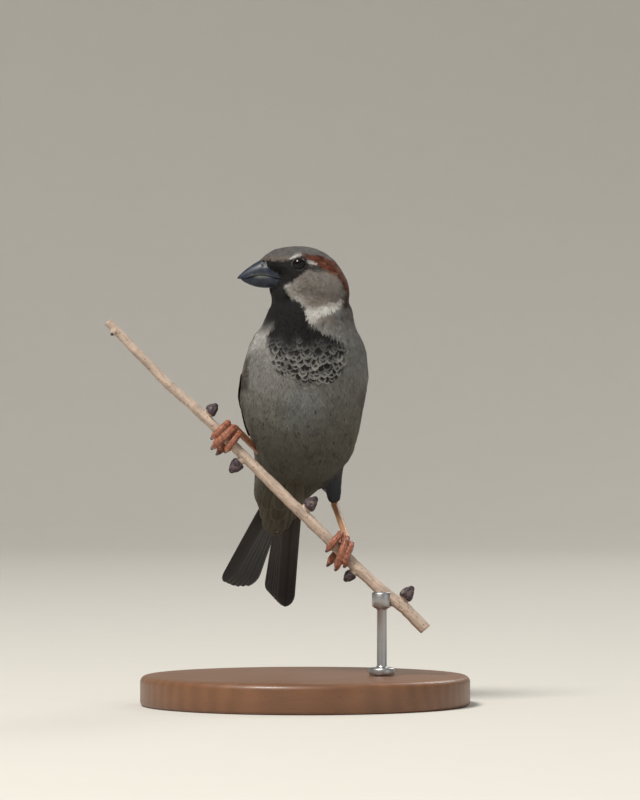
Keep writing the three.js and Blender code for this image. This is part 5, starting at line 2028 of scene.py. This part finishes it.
class SPARROW_OT_stage(bpy.types.Operator):
    """Sets the pale backdrop, the soft lights and the camera"""

    bl_idname = "sparrow.stage"
    bl_label = "Stage"

    def execute(self, context):
        scene = context.scene
        self.backdrop()
        self.lights(scene)
        lens = bpy.data.cameras.new("camera")
        lens.lens = LENS
        lens.sensor_width = 36.0
        lens.clip_start = 0.05
        lens.clip_end = 30.0
        camera = bpy.data.objects.new("camera", lens)
        camera.location = CAMERA
        camera.rotation_euler = (math.radians(90.0), 0.0, 0.0)
        scene.collection.objects.link(camera)
        scene.camera = camera
        scene.view_settings.view_transform = "Standard"
        return {"FINISHED"}

    @staticmethod
    def backdrop():
        """A wide shallow bowl: flat floor, swept up into the wall all round."""
        profile = [(0.0, 0.0), (0.4, 0.0), (0.9, 0.0), (1.6, 0.0)]
        for k in range(1, 13):
            turn = math.radians(90.0 * k / 12.0)
            profile.append((1.6 + 1.2 * math.sin(turn), 1.2 * (1.0 - math.cos(turn))))
        profile += [(2.8, 2.0), (2.8, 3.4)]
        bm = lathed([(radius, height - 0.00002) for radius, height in profile], 96, 0.00001)
        mesh = outward(bm, "backdrop")
        shade_smooth(mesh)
        item = new_object("backdrop", mesh)
        paint = Paint("backdrop")
        lumps = paint.noise(paint.place(), 0.02, 3.0)
        tone = paint.mix(shade("backdrop") * 0.985, shade("backdrop") * 1.015, lumps)
        inputs = {"Base Color": tone, "Roughness": 0.9, "Specular IOR Level": 0.2}
        item.data.materials.append(paint.skin(inputs))

    @staticmethod
    def lights(scene):
        """A broad key from the upper left, a weak fill, a rim behind, and a pale surround."""
        rows = [
            ("key", (-0.7, -0.95, 1.75), 0.7, 52.0, (1.0, 0.97, 0.92)),
            ("fill", (1.3, -1.1, 0.5), 1.1, 2.0, (0.9, 0.95, 1.0)),
            ("rim", (0.9, 1.3, 1.2), 0.8, 9.0, (1.0, 0.98, 0.95)),
        ]
        for name, place, size, power, tone in rows:
            data = bpy.data.lights.new(name, "AREA")
            data.shape = "DISK"
            data.size = size
            data.energy = power
            data.color = tone
            item = bpy.data.objects.new(name, data)
            item.location = place
            aim = Vector((0.0, 0.0, 0.08)) - Vector(place)
            item.rotation_euler = aim.to_track_quat("-Z", "Y").to_euler()
            scene.collection.objects.link(item)
        world = bpy.data.worlds.new("surround")
        world.use_nodes = True
        plain = world.node_tree.nodes["Background"]
        plain.inputs["Color"].default_value = (0.86, 0.9, 0.96, 1.0)
        plain.inputs["Strength"].default_value = 0.4
        scene.world = world


class SPARROW_PT_panel(bpy.types.Panel):
    """The sparrow's settings and the steps that build it"""

    bl_label = "Perched sparrow"
    bl_space_type = "VIEW_3D"
    bl_region_type = "UI"
    bl_category = "Sparrow"

    def draw(self, context):
        layout = self.layout
        for group in (context.scene.sparrow_sizes, context.scene.sparrow_colours):
            box = layout.box()
            for key in type(group).__annotations__:
                box.prop(group, key)
        column = layout.column(align=True)
        for step in STEPS:
            column.operator(step.bl_idname)


STEPS = (
    SPARROW_OT_skin,
    SPARROW_OT_coat,
    SPARROW_OT_wings,
    SPARROW_OT_tail,
    SPARROW_OT_bill,
    SPARROW_OT_eyes,
    SPARROW_OT_feet,
    SPARROW_OT_perch,
    SPARROW_OT_stand,
    SPARROW_OT_stage,
)
CLASSES = (SPARROW_PG_sizes, SPARROW_PG_colours, SPARROW_PT_panel, *STEPS)


def register():
    """Adds the settings, the steps and the panel."""
    for each in CLASSES:
        bpy.utils.register_class(each)
    bpy.types.Scene.sparrow_sizes = bpy.props.PointerProperty(type=SPARROW_PG_sizes)
    bpy.types.Scene.sparrow_colours = bpy.props.PointerProperty(type=SPARROW_PG_colours)


def unregister():
    """Takes them away again."""
    del bpy.types.Scene.sparrow_colours
    del bpy.types.Scene.sparrow_sizes
    for each in reversed(CLASSES):
        bpy.utils.unregister_class(each)


def main():
    """Builds every piece in order."""
    register()
    for step in STEPS:
        group, name = step.bl_idname.split(".")
        getattr(getattr(bpy.ops, group), name)()
    bpy.context.view_layer.update()


if __name__ == "__main__":
    main()
